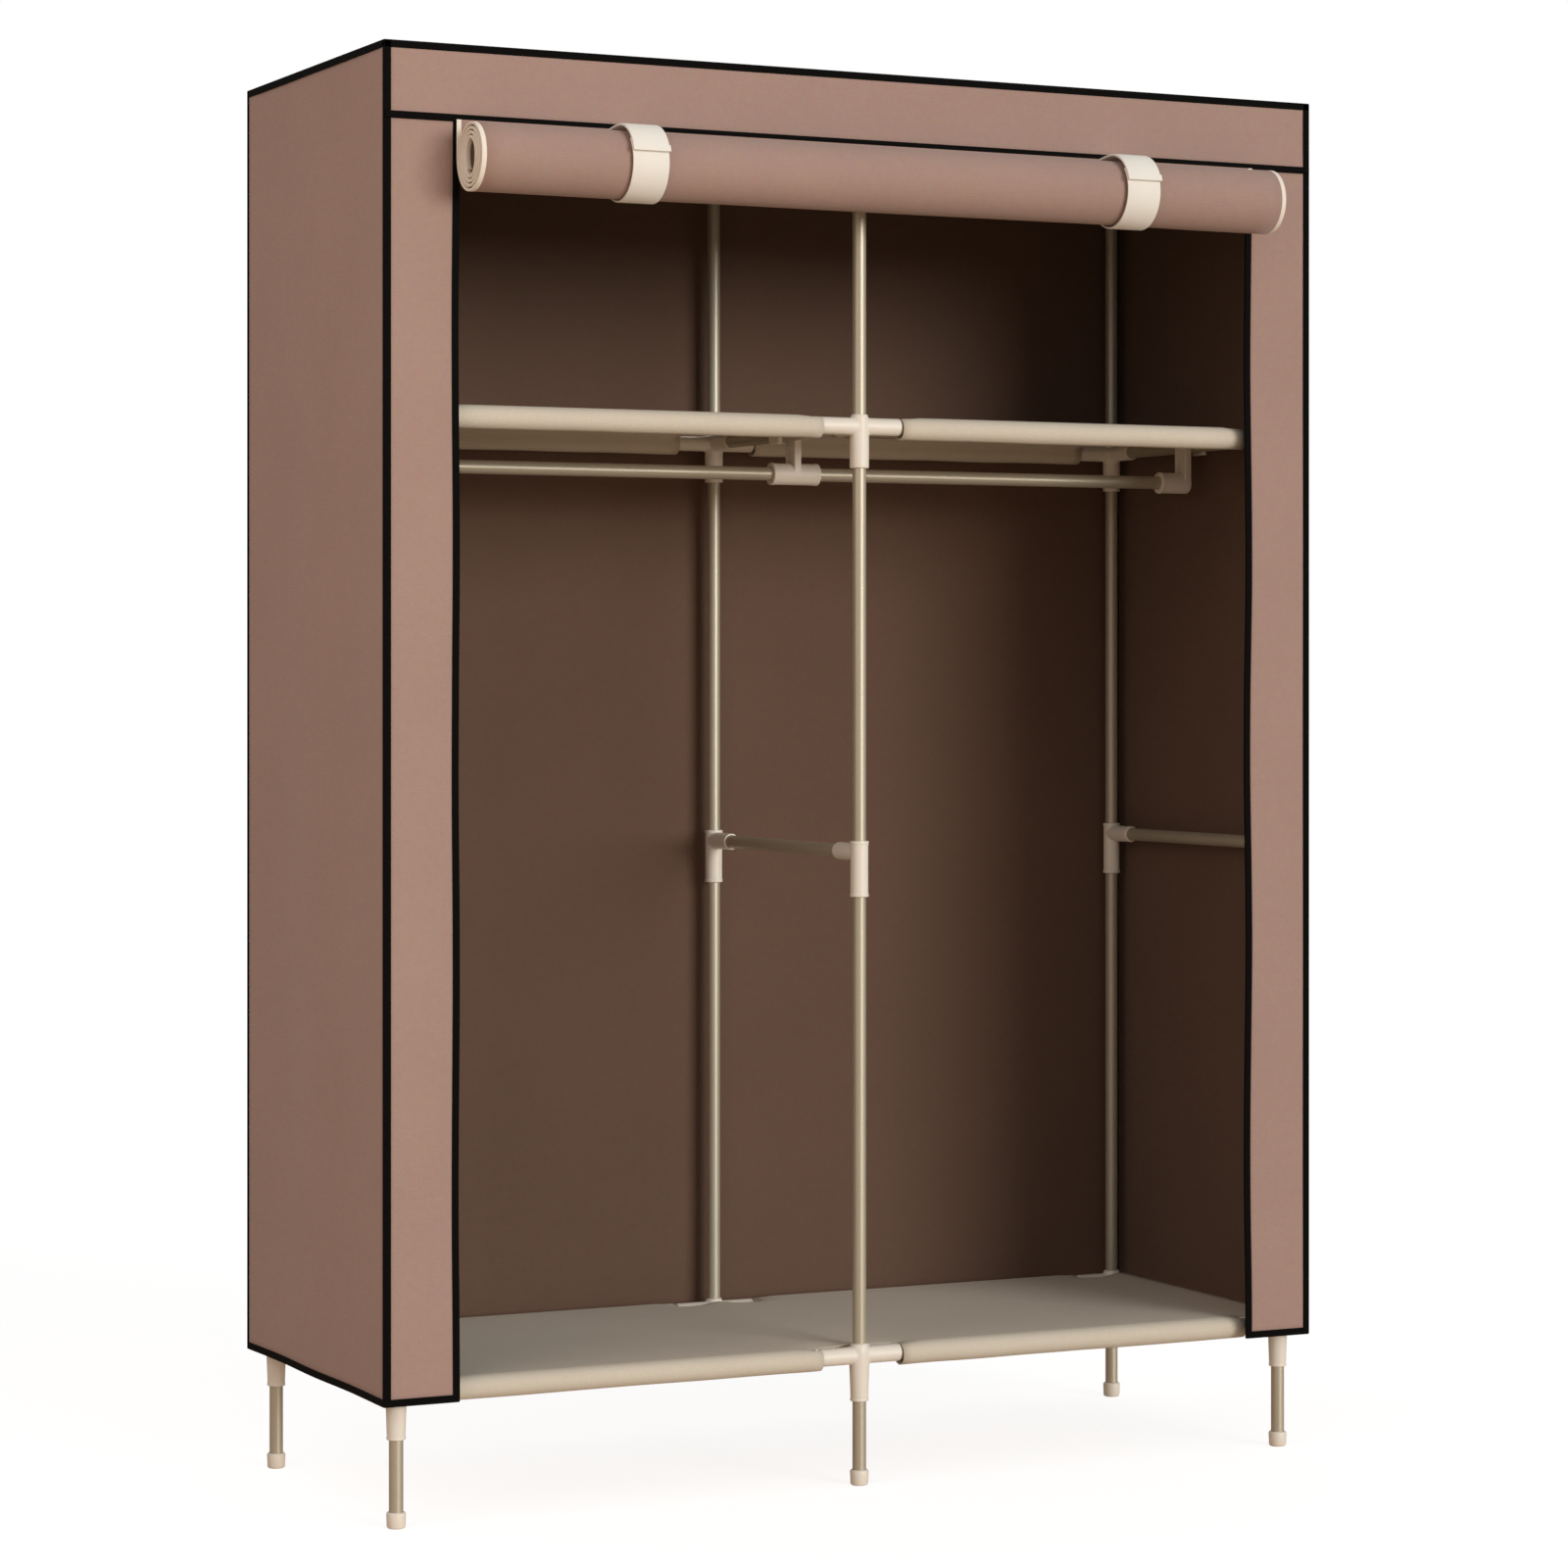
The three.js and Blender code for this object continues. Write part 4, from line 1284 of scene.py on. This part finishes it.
class WARDROBE_OT_feet(bpy.types.Operator):
    """Make the push-on feet"""

    bl_idname = "wardrobe.feet"
    bl_label = "Feet"

    def execute(self, context):
        bore = sizes().bore_radius
        rim, base = FOOT_RADIUS, FOOT_RADIUS - FOOT_TAPER
        top, bevel, ease = FOOT_HEIGHT, FOOT_BEVEL, FOOT_EASE
        outline = [
            (0, 0),
            (base - bevel - 5 * ease, 0),
            (base - bevel, 1.5 * ease),
            (base - 3 * ease, bevel - 3 * ease),
            (base, bevel + 3 * ease),
            (rim - ease, top - bevel - 7 * ease),
            (rim - 3 * ease, top - bevel),
            (rim - bevel, top - 2 * ease),
            (rim - bevel - 6 * ease, top),
            (bore + 3 * ease, top),
            (bore, top - 4 * ease),
            (bore, FOOT_FLOOR),
            (0, FOOT_FLOOR),
        ]
        for name, (side, y, _, _) in COLUMNS.items():
            if name == LEGLESS:
                continue
            node = f"foot_{name}"
            bm = bmesh.new()
            lathe(bm, outline, turned_to("Z", at=(side * COLUMN_X, y, 0)), sides=48)
            new_piece(
                f"{node}_cap",
                bm,
                ["moulded_polypropylene"],
                replaces=[node],
                crease=FOOT_CREASE,
            )
        return {"FINISHED"}


# Hanging rail brackets


def hanger_blocks(x, sign):
    """The hook over a depth tube and its stem with a raised rib down each edge. sign mirrors it
    for the right end."""
    size = sizes()
    bore = size.bore_radius
    top = size.arm_radius
    drop = SHELF_Z - ROD_Z
    low_y, high_y = MIDDLE_Y - HANGER_WIDTH / 2, MIDDLE_Y + HANGER_WIDTH / 2
    left, right = -bore - HANGER_PRONG, bore + HANGER_STEM
    mirror = Matrix.Translation((x, 0, SHELF_Z)) @ Matrix.Diagonal((sign, 1, 1, 1))
    blocks = [
        # the saddle over the tube, with bevelled shoulders, and its prong
        ((left + SADDLE_BEVEL, low_y, 0), (right - SADDLE_BEVEL, high_y, top)),
        ((left, low_y, 0), (right, high_y, top - SADDLE_BEVEL)),
        ((left, low_y, -PRONG_DROP), (-bore, high_y, 0)),
        # the stem: a thinner web between two ribs, solid at its root
        ((bore + HANGER_WEB_INSET, low_y, -drop), (right - HANGER_WEB_INSET, high_y, 0)),
        ((bore, low_y, -drop), (right, low_y + HANGER_RIB, 0)),
        ((bore, high_y - HANGER_RIB, -drop), (right, high_y, 0)),
        ((bore, low_y, -HANGER_ROOT - PRONG_DROP), (right, high_y, 0)),
    ]
    return [(low, high, mirror) for low, high in blocks]


class WARDROBE_OT_brackets(bpy.types.Operator):
    """Mould the three brackets that carry the hanging rods"""

    bl_idname = "wardrobe.brackets"
    bl_label = "Rail brackets"

    def execute(self, context):
        bore = sizes().bore_radius
        barrel = bore + BARREL_WALL
        lip = barrel + LIP_RISE
        saddle = plain_outline(bore, MIDDLE_Y - HANGER_WIDTH, MIDDLE_Y + HANGER_WIDTH)

        # the middle one, whose barrel takes both rods
        half = BARREL_LENGTH / 2
        rim = bar_outline(lip, half - LIP_LENGTH, half, LIP_ROUND)
        rod_bore = plain_outline(bore, BARREL_STOP / 2, half + OVERRUN)
        at = (bore + HANGER_STEM / 2, MIDDLE_Y, ROD_Z)
        ways = [turned_to("X", sign, at) for sign in (1, -1)]
        node = "rod_bracket_middle"
        moulded(
            f"{node}_moulding",
            node,
            bars=[(bar_outline(barrel, -half, half), ways[0])],
            bores=[(saddle, turned_to("Y", at=(0, 0, SHELF_Z))), *((rod_bore, way) for way in ways)],
            lips=[(rim, way) for way in ways],
            blocks=hanger_blocks(0, 1),
            finish=BRACKET_FINISH,
        )

        # a cup at each end
        mouth = bore + CAP_LENGTH
        cup = bar_outline(barrel, bore - CAP_BACK, mouth, CAP_ROUND)
        rim = bar_outline(lip, mouth - LIP_LENGTH, mouth, LIP_ROUND)
        rod_bore = plain_outline(bore, bore + CAP_FLOOR, mouth + OVERRUN)
        for name, sign in (("left", 1), ("right", -1)):
            x = -sign * COLUMN_X
            way = turned_to("X", sign, (x, MIDDLE_Y, ROD_Z))
            node = f"rod_bracket_{name}"
            moulded(
                f"{node}_moulding",
                node,
                bars=[(cup, way)],
                bores=[(saddle, turned_to("Y", at=(x, 0, SHELF_Z))), (rod_bore, way)],
                lips=[(rim, way)],
                blocks=hanger_blocks(x, sign),
                finish=BRACKET_FINISH,
            )
        return {"FINISHED"}


# Shelf cloths


def off_column(x):
    """How far a place across the wardrobe is from the nearest column's axis."""
    return min(abs(x), abs(abs(x) - COLUMN_X))


def notch_depth():
    """How far the notch round a column reaches into the panel."""
    return sizes().stem_radius + NOTCH_EASE


def sleeve_section():
    """A sleeve's half width, and its top and bottom from the tube's axis."""
    arm = sizes().arm_radius
    reach = arm + SLEEVE_SLACK + SHELF_CLOTH
    return reach, SHELF_PANEL_RISE + SHELF_CLOTH, -(arm + SLEEVE_SAG + SHELF_CLOTH)


def sleeve_length():
    """How much cloth goes round a tube."""
    reach, high, low = sleeve_section()
    girth = math.pi * (reach + (high - low) / 2)
    return girth * SLEEVE_TURN / 360


def shelf_stops():
    """Where the cloth's lap, front sleeve, panel, rear sleeve and lap begin, and its end."""
    sleeve = sleeve_length()
    return list(itertools.accumulate((0, SHELF_LAP, sleeve, TUBE_SPAN, sleeve, SHELF_LAP)))


def sleeve_point(turned, direction):
    """Depth and height off the tube's axis. turned goes from 0 at the sleeve's top to 1 where
    its cloth meets the panel again."""
    reach, high, low = sleeve_section()
    angle = math.radians(90 + SLEEVE_TURN * turned)
    y = direction * reach * math.cos(angle)
    return y, (high + low) / 2 + (high - low) / 2 * math.sin(angle)


def panel_drop(x, depth, droop):
    """How far the panel lies below its edges: it sags in each bay, and dips beside a notch."""
    size = sizes()
    bay = math.sin(math.pi * x / COLUMN_X) ** 2
    middle = math.sin(math.pi * depth / TUBE_SPAN)
    sag = bay * middle * (size.shelf_sag * middle + PANEL_SLACK_SHARE * droop)
    past_notch = max(0.0, min(depth, TUBE_SPAN - depth) - notch_depth())
    past_arm = max(0.0, off_column(x) - ARM_END)
    fading = max(0.0, 1 - math.hypot(past_notch, past_arm) / NOTCH_LIP_REACH)
    ramp = min(1.0, max(0.0, (off_column(x) - size.arm_radius) / NOTCH_LIP_RAMP))
    return sag + NOTCH_LIP_DROP * fading**2 * ramp


def shelf_point(x, run, level):
    """A point of a shelf cloth; run goes from the front lap to the rear lap."""
    _, _, panel_start, panel_end, _, _ = shelf_stops()
    top = SHELF_PANEL_RISE + SHELF_CLOTH
    droop = ripple(x, run, size=70 * MM, depth=1.2 * MM, seed=level)
    if panel_start <= run <= panel_end:
        depth = run - panel_start
        return Vector((x, FRONT_TUBE_Y + depth, level + top - panel_drop(x, depth, droop)))
    if run < panel_start:
        direction, tube_y, past = 1, FRONT_TUBE_Y, panel_start - run
    else:
        direction, tube_y, past = -1, REAR_TUBE_Y, run - panel_end
    sleeve = sleeve_length()
    if past <= sleeve:
        turned = past / sleeve
        y, z = sleeve_point(turned, direction)
        hang = droop * max(0.0, math.sin(math.pi * turned))
        return Vector((x, tube_y + y, level + z - hang))
    y, z = sleeve_point(1, direction)
    share = (past - sleeve) / SHELF_LAP
    z += (top - LAP_DEPTH - z) * min(1.0, share * LAP_CLOSING)
    return Vector((x, tube_y + y + direction * SHELF_LAP * share, level + z))


def in_shelf(x, run):
    """Whether the cloth is there: it is cut away round the columns and their arms."""
    _, _, panel_start, panel_end, _, _ = shelf_stops()
    beside_column = off_column(x) < ARM_END or abs(x) > COLUMN_X
    return not beside_column or panel_start + notch_depth() < run < panel_end - notch_depth()


class WARDROBE_OT_shelves(bpy.types.Operator):
    """Make the two shelf cloths with their sewn sleeves"""

    bl_idname = "wardrobe.shelves"
    bl_label = "Shelf cloths"

    def execute(self, context):
        notch = notch_depth()
        start, front_round, panel_start, panel_end, rear_round, whole = shelf_stops()
        side = COLUMN_X + SIDE_OVERHANG
        across = evenly(
            [-side, -COLUMN_X + ARM_END, -ARM_END, ARM_END, COLUMN_X - ARM_END, side], SHELF_CELL_X
        )
        along = evenly(
            [start, front_round, panel_start, panel_start + notch]
            + [panel_end - notch, panel_end, rear_round, whole],
            SHELF_CELL_Y,
        )
        for name, tubes, level in (("bottom", "bottom", BOTTOM_Z), ("top", "shelf", SHELF_Z)):
            node = f"shelf_cloth_{name}"
            place = functools.partial(shelf_point, level=level)
            bm = cloth_grid(across, along, place, keep=in_shelf)
            piece = new_piece(
                f"{node}_sheet", bm, ["shelf_nonwoven"], replaces=[node]
            )
            thicken(piece, SHELF_SHEET)
        return {"FINISHED"}


# Cover


class WARDROBE_OT_cover(bpy.types.Operator):
    """Make the cover: sides and back in one length, and the front with the top"""

    bl_idname = "wardrobe.cover"
    bl_label = "Cover"

    def execute(self, context):
        size = sizes()
        # Both sheets carry the darker cloth on their inner side: painted shade of the inside.
        across = evenly(WRAP_CORNERS, WRAP_CELL)
        along = evenly([HEM_Z, WRAP_HIGH.z], WRAP_CELL)
        node = "cover_sides_and_back"
        piece = new_piece(
            f"{node}_sheet",
            cloth_grid(across, along, wrap_point),
            ["cover_nonwoven", "shaded_inside_nonwoven"],
            replaces=[node],
        )
        thicken(piece, size.cloth, shaded_inside=True)

        whole = FRONT_LENGTH + TOP_LENGTH
        across = evenly([-HALF_WIDTH, -DOORWAY, 0, DOORWAY, HALF_WIDTH], FRONT_CELL)
        along = evenly([0, DOORWAY_HEIGHT, FRONT_LENGTH, whole], FRONT_CELL)
        node = "cover_front_and_top"
        piece = new_piece(
            f"{node}_sheet",
            cloth_grid(
                across,
                along,
                front_point,
                keep=lambda x, run: abs(x) > DOORWAY or run > DOORWAY_HEIGHT,
            ),
            ["cover_nonwoven", "shaded_inside_nonwoven"],
            replaces=[node],
        )
        thicken(piece, size.cloth, shaded_inside=True)
        return {"FINISHED"}


# Black bindings


def corner_outline():
    """Tape folded round an outer corner. a runs in along one face and b along the other, where
    less of it shows."""
    size = sizes()
    leg_a, leg_b, thick = size.binding_leg, size.binding_leg * SHORT_LEG_SHARE, size.binding
    edge = thick * BINDING_EDGE_SHARE
    rounding = thick * BINDING_ROUND_SHARE
    return [
        (leg_a, -edge),
        (leg_a - rounding, -thick),
        (-thick + rounding, -thick),
        (-thick, -thick + rounding),
        (-thick, leg_b - rounding),
        (-edge, leg_b),
        (0, leg_b),
        (0, 0),
        (leg_a, 0),
    ]


def inner_outline():
    """Tape in an inner corner, where it covers the seam from inside."""
    leg, thick = sizes().binding_leg, sizes().binding
    return [(0, 0), (leg, 0), (leg, thick), (thick, thick), (thick, leg), (0, leg)]


def fold_outline():
    """Tape folded over a free edge. a runs in along the cloth and b is outwards."""
    size = sizes()
    leg, thick, cloth = size.binding_leg, size.binding, size.cloth
    edge = thick * BINDING_EDGE_SHARE
    rounding = thick * BINDING_ROUND_SHARE
    return [
        (leg, edge),
        (leg - rounding, thick),
        (-thick + rounding, thick),
        (-thick, thick - rounding),
        (-thick, -cloth - thick + rounding),
        (-thick + rounding, -cloth - thick),
        (leg - rounding, -cloth - thick),
        (leg, -cloth - edge),
    ]


def bind_corners():
    """Tape up the four corners, outside and inside."""
    bm = bmesh.new()
    for outline, inset, top in (
        (corner_outline(), 0, TOP_Z),
        (inner_outline(), COVER_CLOTH, TOP_Z - INNER_BINDING_GAP),
    ):
        heights = evenly([HEM_Z, top], BINDING_CELL)
        for x, inward in ((-HALF_WIDTH + inset, X), (HALF_WIDTH - inset, -X)):
            for y, along in ((FRONT_Y + inset, Y), (BACK_Y - inset, -Y)):
                path = [(Vector((x, y, z)), inward, along) for z in heights]
                swept_tape(bm, path, outline, cornered=True)
    return bm


def bind_top():
    """Tape round the top."""
    bm = bmesh.new()
    outline = corner_outline()
    widths = evenly([-HALF_WIDTH, HALF_WIDTH], BINDING_CELL)
    depths = evenly([FRONT_Y, BACK_Y], BINDING_CELL)
    for y, inward in ((FRONT_Y, Y), (BACK_Y, -Y)):
        path = [(Vector((x, y, TOP_Z)), -Z, inward) for x in widths]
        swept_tape(bm, path, outline, cornered=True)
    for x, inward in ((-HALF_WIDTH, X), (HALF_WIDTH, -X)):
        path = [(Vector((x, y, TOP_Z)), -Z, inward) for y in depths]
        swept_tape(bm, path, outline, cornered=True)
    return bm


def bind_hem():
    """Tape along the lower hem, following the cloth's folds."""
    bm = bmesh.new()
    outline = fold_outline()
    for (low, high), outward in zip(itertools.pairwise(WRAP_CORNERS), (X, Y, -X)):
        runs = [
            min(max(run, low + CORNER_NUDGE), high - CORNER_NUDGE)
            for run in evenly([low, high], WRAP_CELL)
        ]
        swept_tape(bm, [(wrap_point(run, HEM_Z), Z, outward) for run in runs], outline)
    for low, high in ((-HALF_WIDTH, -DOORWAY), (DOORWAY, HALF_WIDTH)):
        places = evenly([low, high], FLAP_HEM_CELL)
        swept_tape(bm, [(front_point(x, 0), Z, -Y) for x in places], outline)
    return bm


def bind_doorway():
    """Tape down the free edges of the flaps."""
    bm = bmesh.new()
    runs = evenly([0, DOORWAY_HEIGHT], FRONT_CELL)
    for side in (-1, 1):
        path = [(front_point(side * DOORWAY, run), side * X, -Y) for run in runs]
        swept_tape(bm, path, fold_outline())
    return bm


def bind_header():
    """The thick seam along the header's lower edge."""
    size = sizes()
    bm = bmesh.new()
    high = SEAM_THICKNESS - SEAM_SETBACK
    outline = rounded_bar(SEAM_HEIGHT / 2, -size.cloth - size.binding, high, SEAM_ROUND)
    end = HALF_WIDTH - SEAM_INSET
    middle = HEADER_Z + SEAM_HEIGHT / 2
    path = [(Vector((x, FRONT_Y, middle)), Z, -Y) for x in evenly([-end, end], BINDING_CELL)]
    swept_tape(bm, path, outline)
    return bm


class WARDROBE_OT_bindings(bpy.types.Operator):
    """Bind the cover's corners, hem, header and door opening in black tape"""

    bl_idname = "wardrobe.bindings"
    bl_label = "Bindings"

    def execute(self, context):
        for name, bind in (
            ("corner_binding", bind_corners),
            ("top_binding", bind_top),
            ("hem_binding", bind_hem),
            ("door_opening_binding", bind_doorway),
            ("header_seam_binding", bind_header),
        ):
            new_piece(
                name, bind(), ["black_binding_tape"], crease=TAPE_CREASE
            )
        return {"FINISHED"}


# Rolled door


def wound(share, swell=0.0):
    """A point of the roll's outer side, at that share of the wound length from its outside."""
    angle = -math.tau * DOOR_TURNS * share
    half_turn = math.sin(math.pi * DOOR_TURNS * share)
    paired = share + PAIRING_SHARE * math.tanh(PAIRING_TIGHTNESS * half_turn)
    radius = ROLL_RADIUS - (ROLL_RADIUS - CORE_HALF_HEIGHT - COVER_CLOTH) * paired
    narrowed = 1 - (1 - CORE_OVAL_SHARE) * paired
    return (radius * narrowed + swell) * math.cos(angle), (radius + swell) * math.sin(angle)


def roll_point(x, share):
    """A point of the rolled door. Its turns lie a little unevenly along the roll, all alike."""
    angle = math.tau * DOOR_TURNS * share
    round_turn = (ROLL_TURN_WAVE * math.cos(angle), ROLL_TURN_WAVE * math.sin(angle))
    unevenness = noise.noise(Vector((x / ROLL_WAVE, *round_turn)))
    y, z = wound(share, swell=ROLL_UNEVENNESS * unevenness - ROLL_SHRINK)
    return Vector((x, ROLL_Y + y, ROLL_Z + z))


def roll_outward(share):
    """The way that the roll's outer side looks."""
    y, z = wound(share)
    ahead_y, ahead_z = wound(share + LOOK_AHEAD_SHARE)
    return X.cross(Vector((0, ahead_y - y, ahead_z - z)).normalized())


def edging_outline():
    """Tape folded over the door's edge, as a bar a little thicker than the cloth."""
    size = sizes()
    return rounded_bar(size.edging / 2, -size.cloth - EDGING_PROUD, EDGING_PROUD, EDGING_ROUND)


def edging_places():
    """Where the middle of each edging is across the wardrobe."""
    place = DOOR_HALF_WIDTH - sizes().edging / 2 + EDGING_OVERHANG
    return -place, place


def roll_door():
    """The rolled part and its edging."""
    steps = round(DOOR_TURNS * TURN_STEPS)
    shares = [at / steps for at in range(steps + 1)]
    across = evenly([-DOOR_HALF_WIDTH, DOOR_HALF_WIDTH], DOOR_CELL)
    bm = cloth_grid(
        across, shares, roll_point, flat=lambda x, share: (x, share * WOUND_LENGTH)
    )
    # The roll's inner side takes the darker cloth: painted shade between its turns.
    piece = new_piece(
        "door_roll_sheet",
        bm,
        ["cover_nonwoven", "shaded_inside_nonwoven"],
        body="door",
        replaces=["door_roll"],
    )
    thicken(piece, sizes().cloth, shaded_inside=True)
    bake(piece)
    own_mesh(piece)

    bm = bmesh.new()
    for x in edging_places():
        path = [(roll_point(x, share), X, roll_outward(share)) for share in shares]
        swept_tape(bm, path, edging_outline())
    edging = new_piece(
        "door_roll_edging",
        bm,
        ["cream_edging_tape"],
        body="door",
        crease=TAPE_CREASE,
    )
    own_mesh(edging)


def hang_web():
    """The web above the roll and its edging, in close rows."""
    across = evenly([-DOOR_HALF_WIDTH, DOOR_HALF_WIDTH], DOOR_CELL)
    rows = evenly([WEB_LOW.z, HEADER_Z + WEB_SEAM_LAP], WEB_CELL)
    web_y = WEB_LOW.y + WEB_STANDOFF
    piece = new_piece(
        "door_web_sheet",
        cloth_grid(across, rows, lambda x, z: Vector((x, web_y, z))),
        ["door_nonwoven", "door_nonwoven"],
        body=None,
        replaces=["door_web"],
    )
    thicken(piece, sizes().cloth)
    bake(piece)
    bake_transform(piece)

    bm = bmesh.new()
    for x in edging_places():
        path = [(Vector((x, web_y, z)), X, -Y) for z in rows]
        swept_tape(bm, path, edging_outline())
    edging = new_piece(
        "door_web_edging",
        bm,
        ["cream_edging_tape"],
        body=None,
        crease=TAPE_CREASE,
    )
    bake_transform(edging)


class WARDROBE_OT_door(bpy.types.Operator):
    """Make the rolled-up door, the web that hangs it, and their cream edging"""

    bl_idname = "wardrobe.door"
    bl_label = "Rolled door"

    def execute(self, context):
        roll_door()
        hang_web()
        return {"FINISHED"}


# Straps


def arc(radius, start, end, step=4):
    """Points of an arc round the roll's axis, in depth and height, between two angles."""
    count = max(2, math.ceil(abs(end - start) / step))
    angles = [math.radians(start + (end - start) * at / count) for at in range(count + 1)]
    return [(radius * math.cos(angle), radius * math.sin(angle)) for angle in angles]


def strap_path(x, points):
    """The stops of a strap through points in depth and height, with its outward directions."""
    path = []
    for at, (y, z) in enumerate(points):
        before = points[max(0, at - 1)]
        after = points[min(len(points) - 1, at + 1)]
        along = Vector((0, after[0] - before[0], after[1] - before[1])).normalized()
        path.append((Vector((x, ROLL_Y + y, ROLL_Z + z)), X, along.cross(X)))
    return path


def strap_tail(name, x):
    """The long end, from the header down behind the roll and under it."""
    heights = evenly([ROLL_DROP - 2 * SEAT_GAP, 0], TAIL_CELL)[:-1]
    points = [(TAIL_RADIUS, z) for z in heights]
    points += arc(TAIL_RADIUS, 0, -180 - TAIL_END_ANGLE)
    bm = bmesh.new()
    outline = rounded_bar(STRAP_HALF_WIDTH, -STRAP_CORE, STRAP_CORE, TAIL_ROUND)
    swept_tape(bm, strap_path(x, points), outline)
    tail = new_piece(
        f"strap_tail_{name}_webbing",
        bm,
        ["strap_webbing"],
        replaces=[f"strap_tail_{name}"],
        crease=WEBBING_CREASE,
    )
    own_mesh(tail)


def strap_tab(name, x):
    """The short end, from the header over the roll's front, with its turned-over hem."""
    half = sizes().strap / 2
    lift = half - STRAP_CORE
    root = ROLL_RADIUS - COVER_CLOTH - TAB_ROOT_GAP
    end_angle = 180 - TAB_END_ANGLE
    points = [
        (y, TAB_RADIUS - TAB_ROOT_DROP * (y / root) ** TAB_ROOT_CURVE)
        for y in evenly([root, 0], TAB_CELL)[:-1]
    ]
    points += arc(TAB_RADIUS, 90, end_angle)
    hem_points = arc(TAB_RADIUS, end_angle - TAB_HEM_ANGLE, end_angle + TAB_HEM_OVERRUN, step=2)
    outline = rounded_bar(STRAP_HALF_WIDTH, -half + lift, half + lift, TAB_ROUND)
    hem_width = STRAP_HALF_WIDTH + TAB_HEM_OVERHANG
    hem_outline = rounded_bar(hem_width, half, half + lift + TAB_HEM_RISE, TAB_HEM_ROUND)
    bm = bmesh.new()
    swept_tape(bm, strap_path(x, points), outline)
    swept_tape(bm, strap_path(x, hem_points), hem_outline)
    tab = new_piece(
        f"strap_tab_{name}_webbing",
        bm,
        ["strap_webbing"],
        body=f"{name}_tab",
        replaces=[f"strap_tab_{name}"],
        crease=WEBBING_CREASE,
    )
    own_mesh(tab)


class WARDROBE_OT_straps(bpy.types.Operator):
    """Make the two hook-and-loop straps that hold the rolled door"""

    bl_idname = "wardrobe.straps"
    bl_label = "Straps"

    def execute(self, context):
        for name in ("left", "right"):
            x = box_middle(f"strap_tail_{name}", "x")
            strap_tail(name, x)
            strap_tab(name, x)
        return {"FINISHED"}


# Add-on


OPERATORS = (
    WARDROBE_OT_stage,
    WARDROBE_OT_tubes,
    WARDROBE_OT_connectors,
    WARDROBE_OT_rungs,
    WARDROBE_OT_feet,
    WARDROBE_OT_brackets,
    WARDROBE_OT_shelves,
    WARDROBE_OT_cover,
    WARDROBE_OT_bindings,
    WARDROBE_OT_door,
    WARDROBE_OT_straps,
)


class WARDROBE_PT_pieces(bpy.types.Panel):
    """Lists the pieces of the wardrobe, its sizes and its colours"""

    bl_label = "Fabric wardrobe"
    bl_idname = "WARDROBE_PT_pieces"
    bl_space_type = "VIEW_3D"
    bl_region_type = "UI"
    bl_category = "Wardrobe"

    def draw(self, context):
        layout = self.layout
        for operator in OPERATORS:
            layout.operator(operator.bl_idname)
        for group in (context.scene.wardrobe_sizes, context.scene.wardrobe_colours):
            column = layout.column(align=True)
            for name in group.__annotations__:
                column.prop(group, name)


def register():
    for kind in (WardrobeSizes, WardrobeColours, *OPERATORS, WARDROBE_PT_pieces):
        bpy.utils.register_class(kind)
    bpy.types.Scene.wardrobe_sizes = PointerProperty(type=WardrobeSizes)
    bpy.types.Scene.wardrobe_colours = PointerProperty(type=WardrobeColours)


def unregister():
    del bpy.types.Scene.wardrobe_colours
    del bpy.types.Scene.wardrobe_sizes
    for kind in (WARDROBE_PT_pieces, *reversed(OPERATORS), WardrobeColours, WardrobeSizes):
        bpy.utils.unregister_class(kind)


def main():
    register()
    bpy.ops.wardrobe.stage()
    bpy.ops.wardrobe.tubes()
    bpy.ops.wardrobe.connectors()
    bpy.ops.wardrobe.rungs()
    bpy.ops.wardrobe.feet()
    bpy.ops.wardrobe.brackets()
    bpy.ops.wardrobe.shelves()
    bpy.ops.wardrobe.cover()
    bpy.ops.wardrobe.bindings()
    bpy.ops.wardrobe.door()
    bpy.ops.wardrobe.straps()


if __name__ == "__main__":
    main()
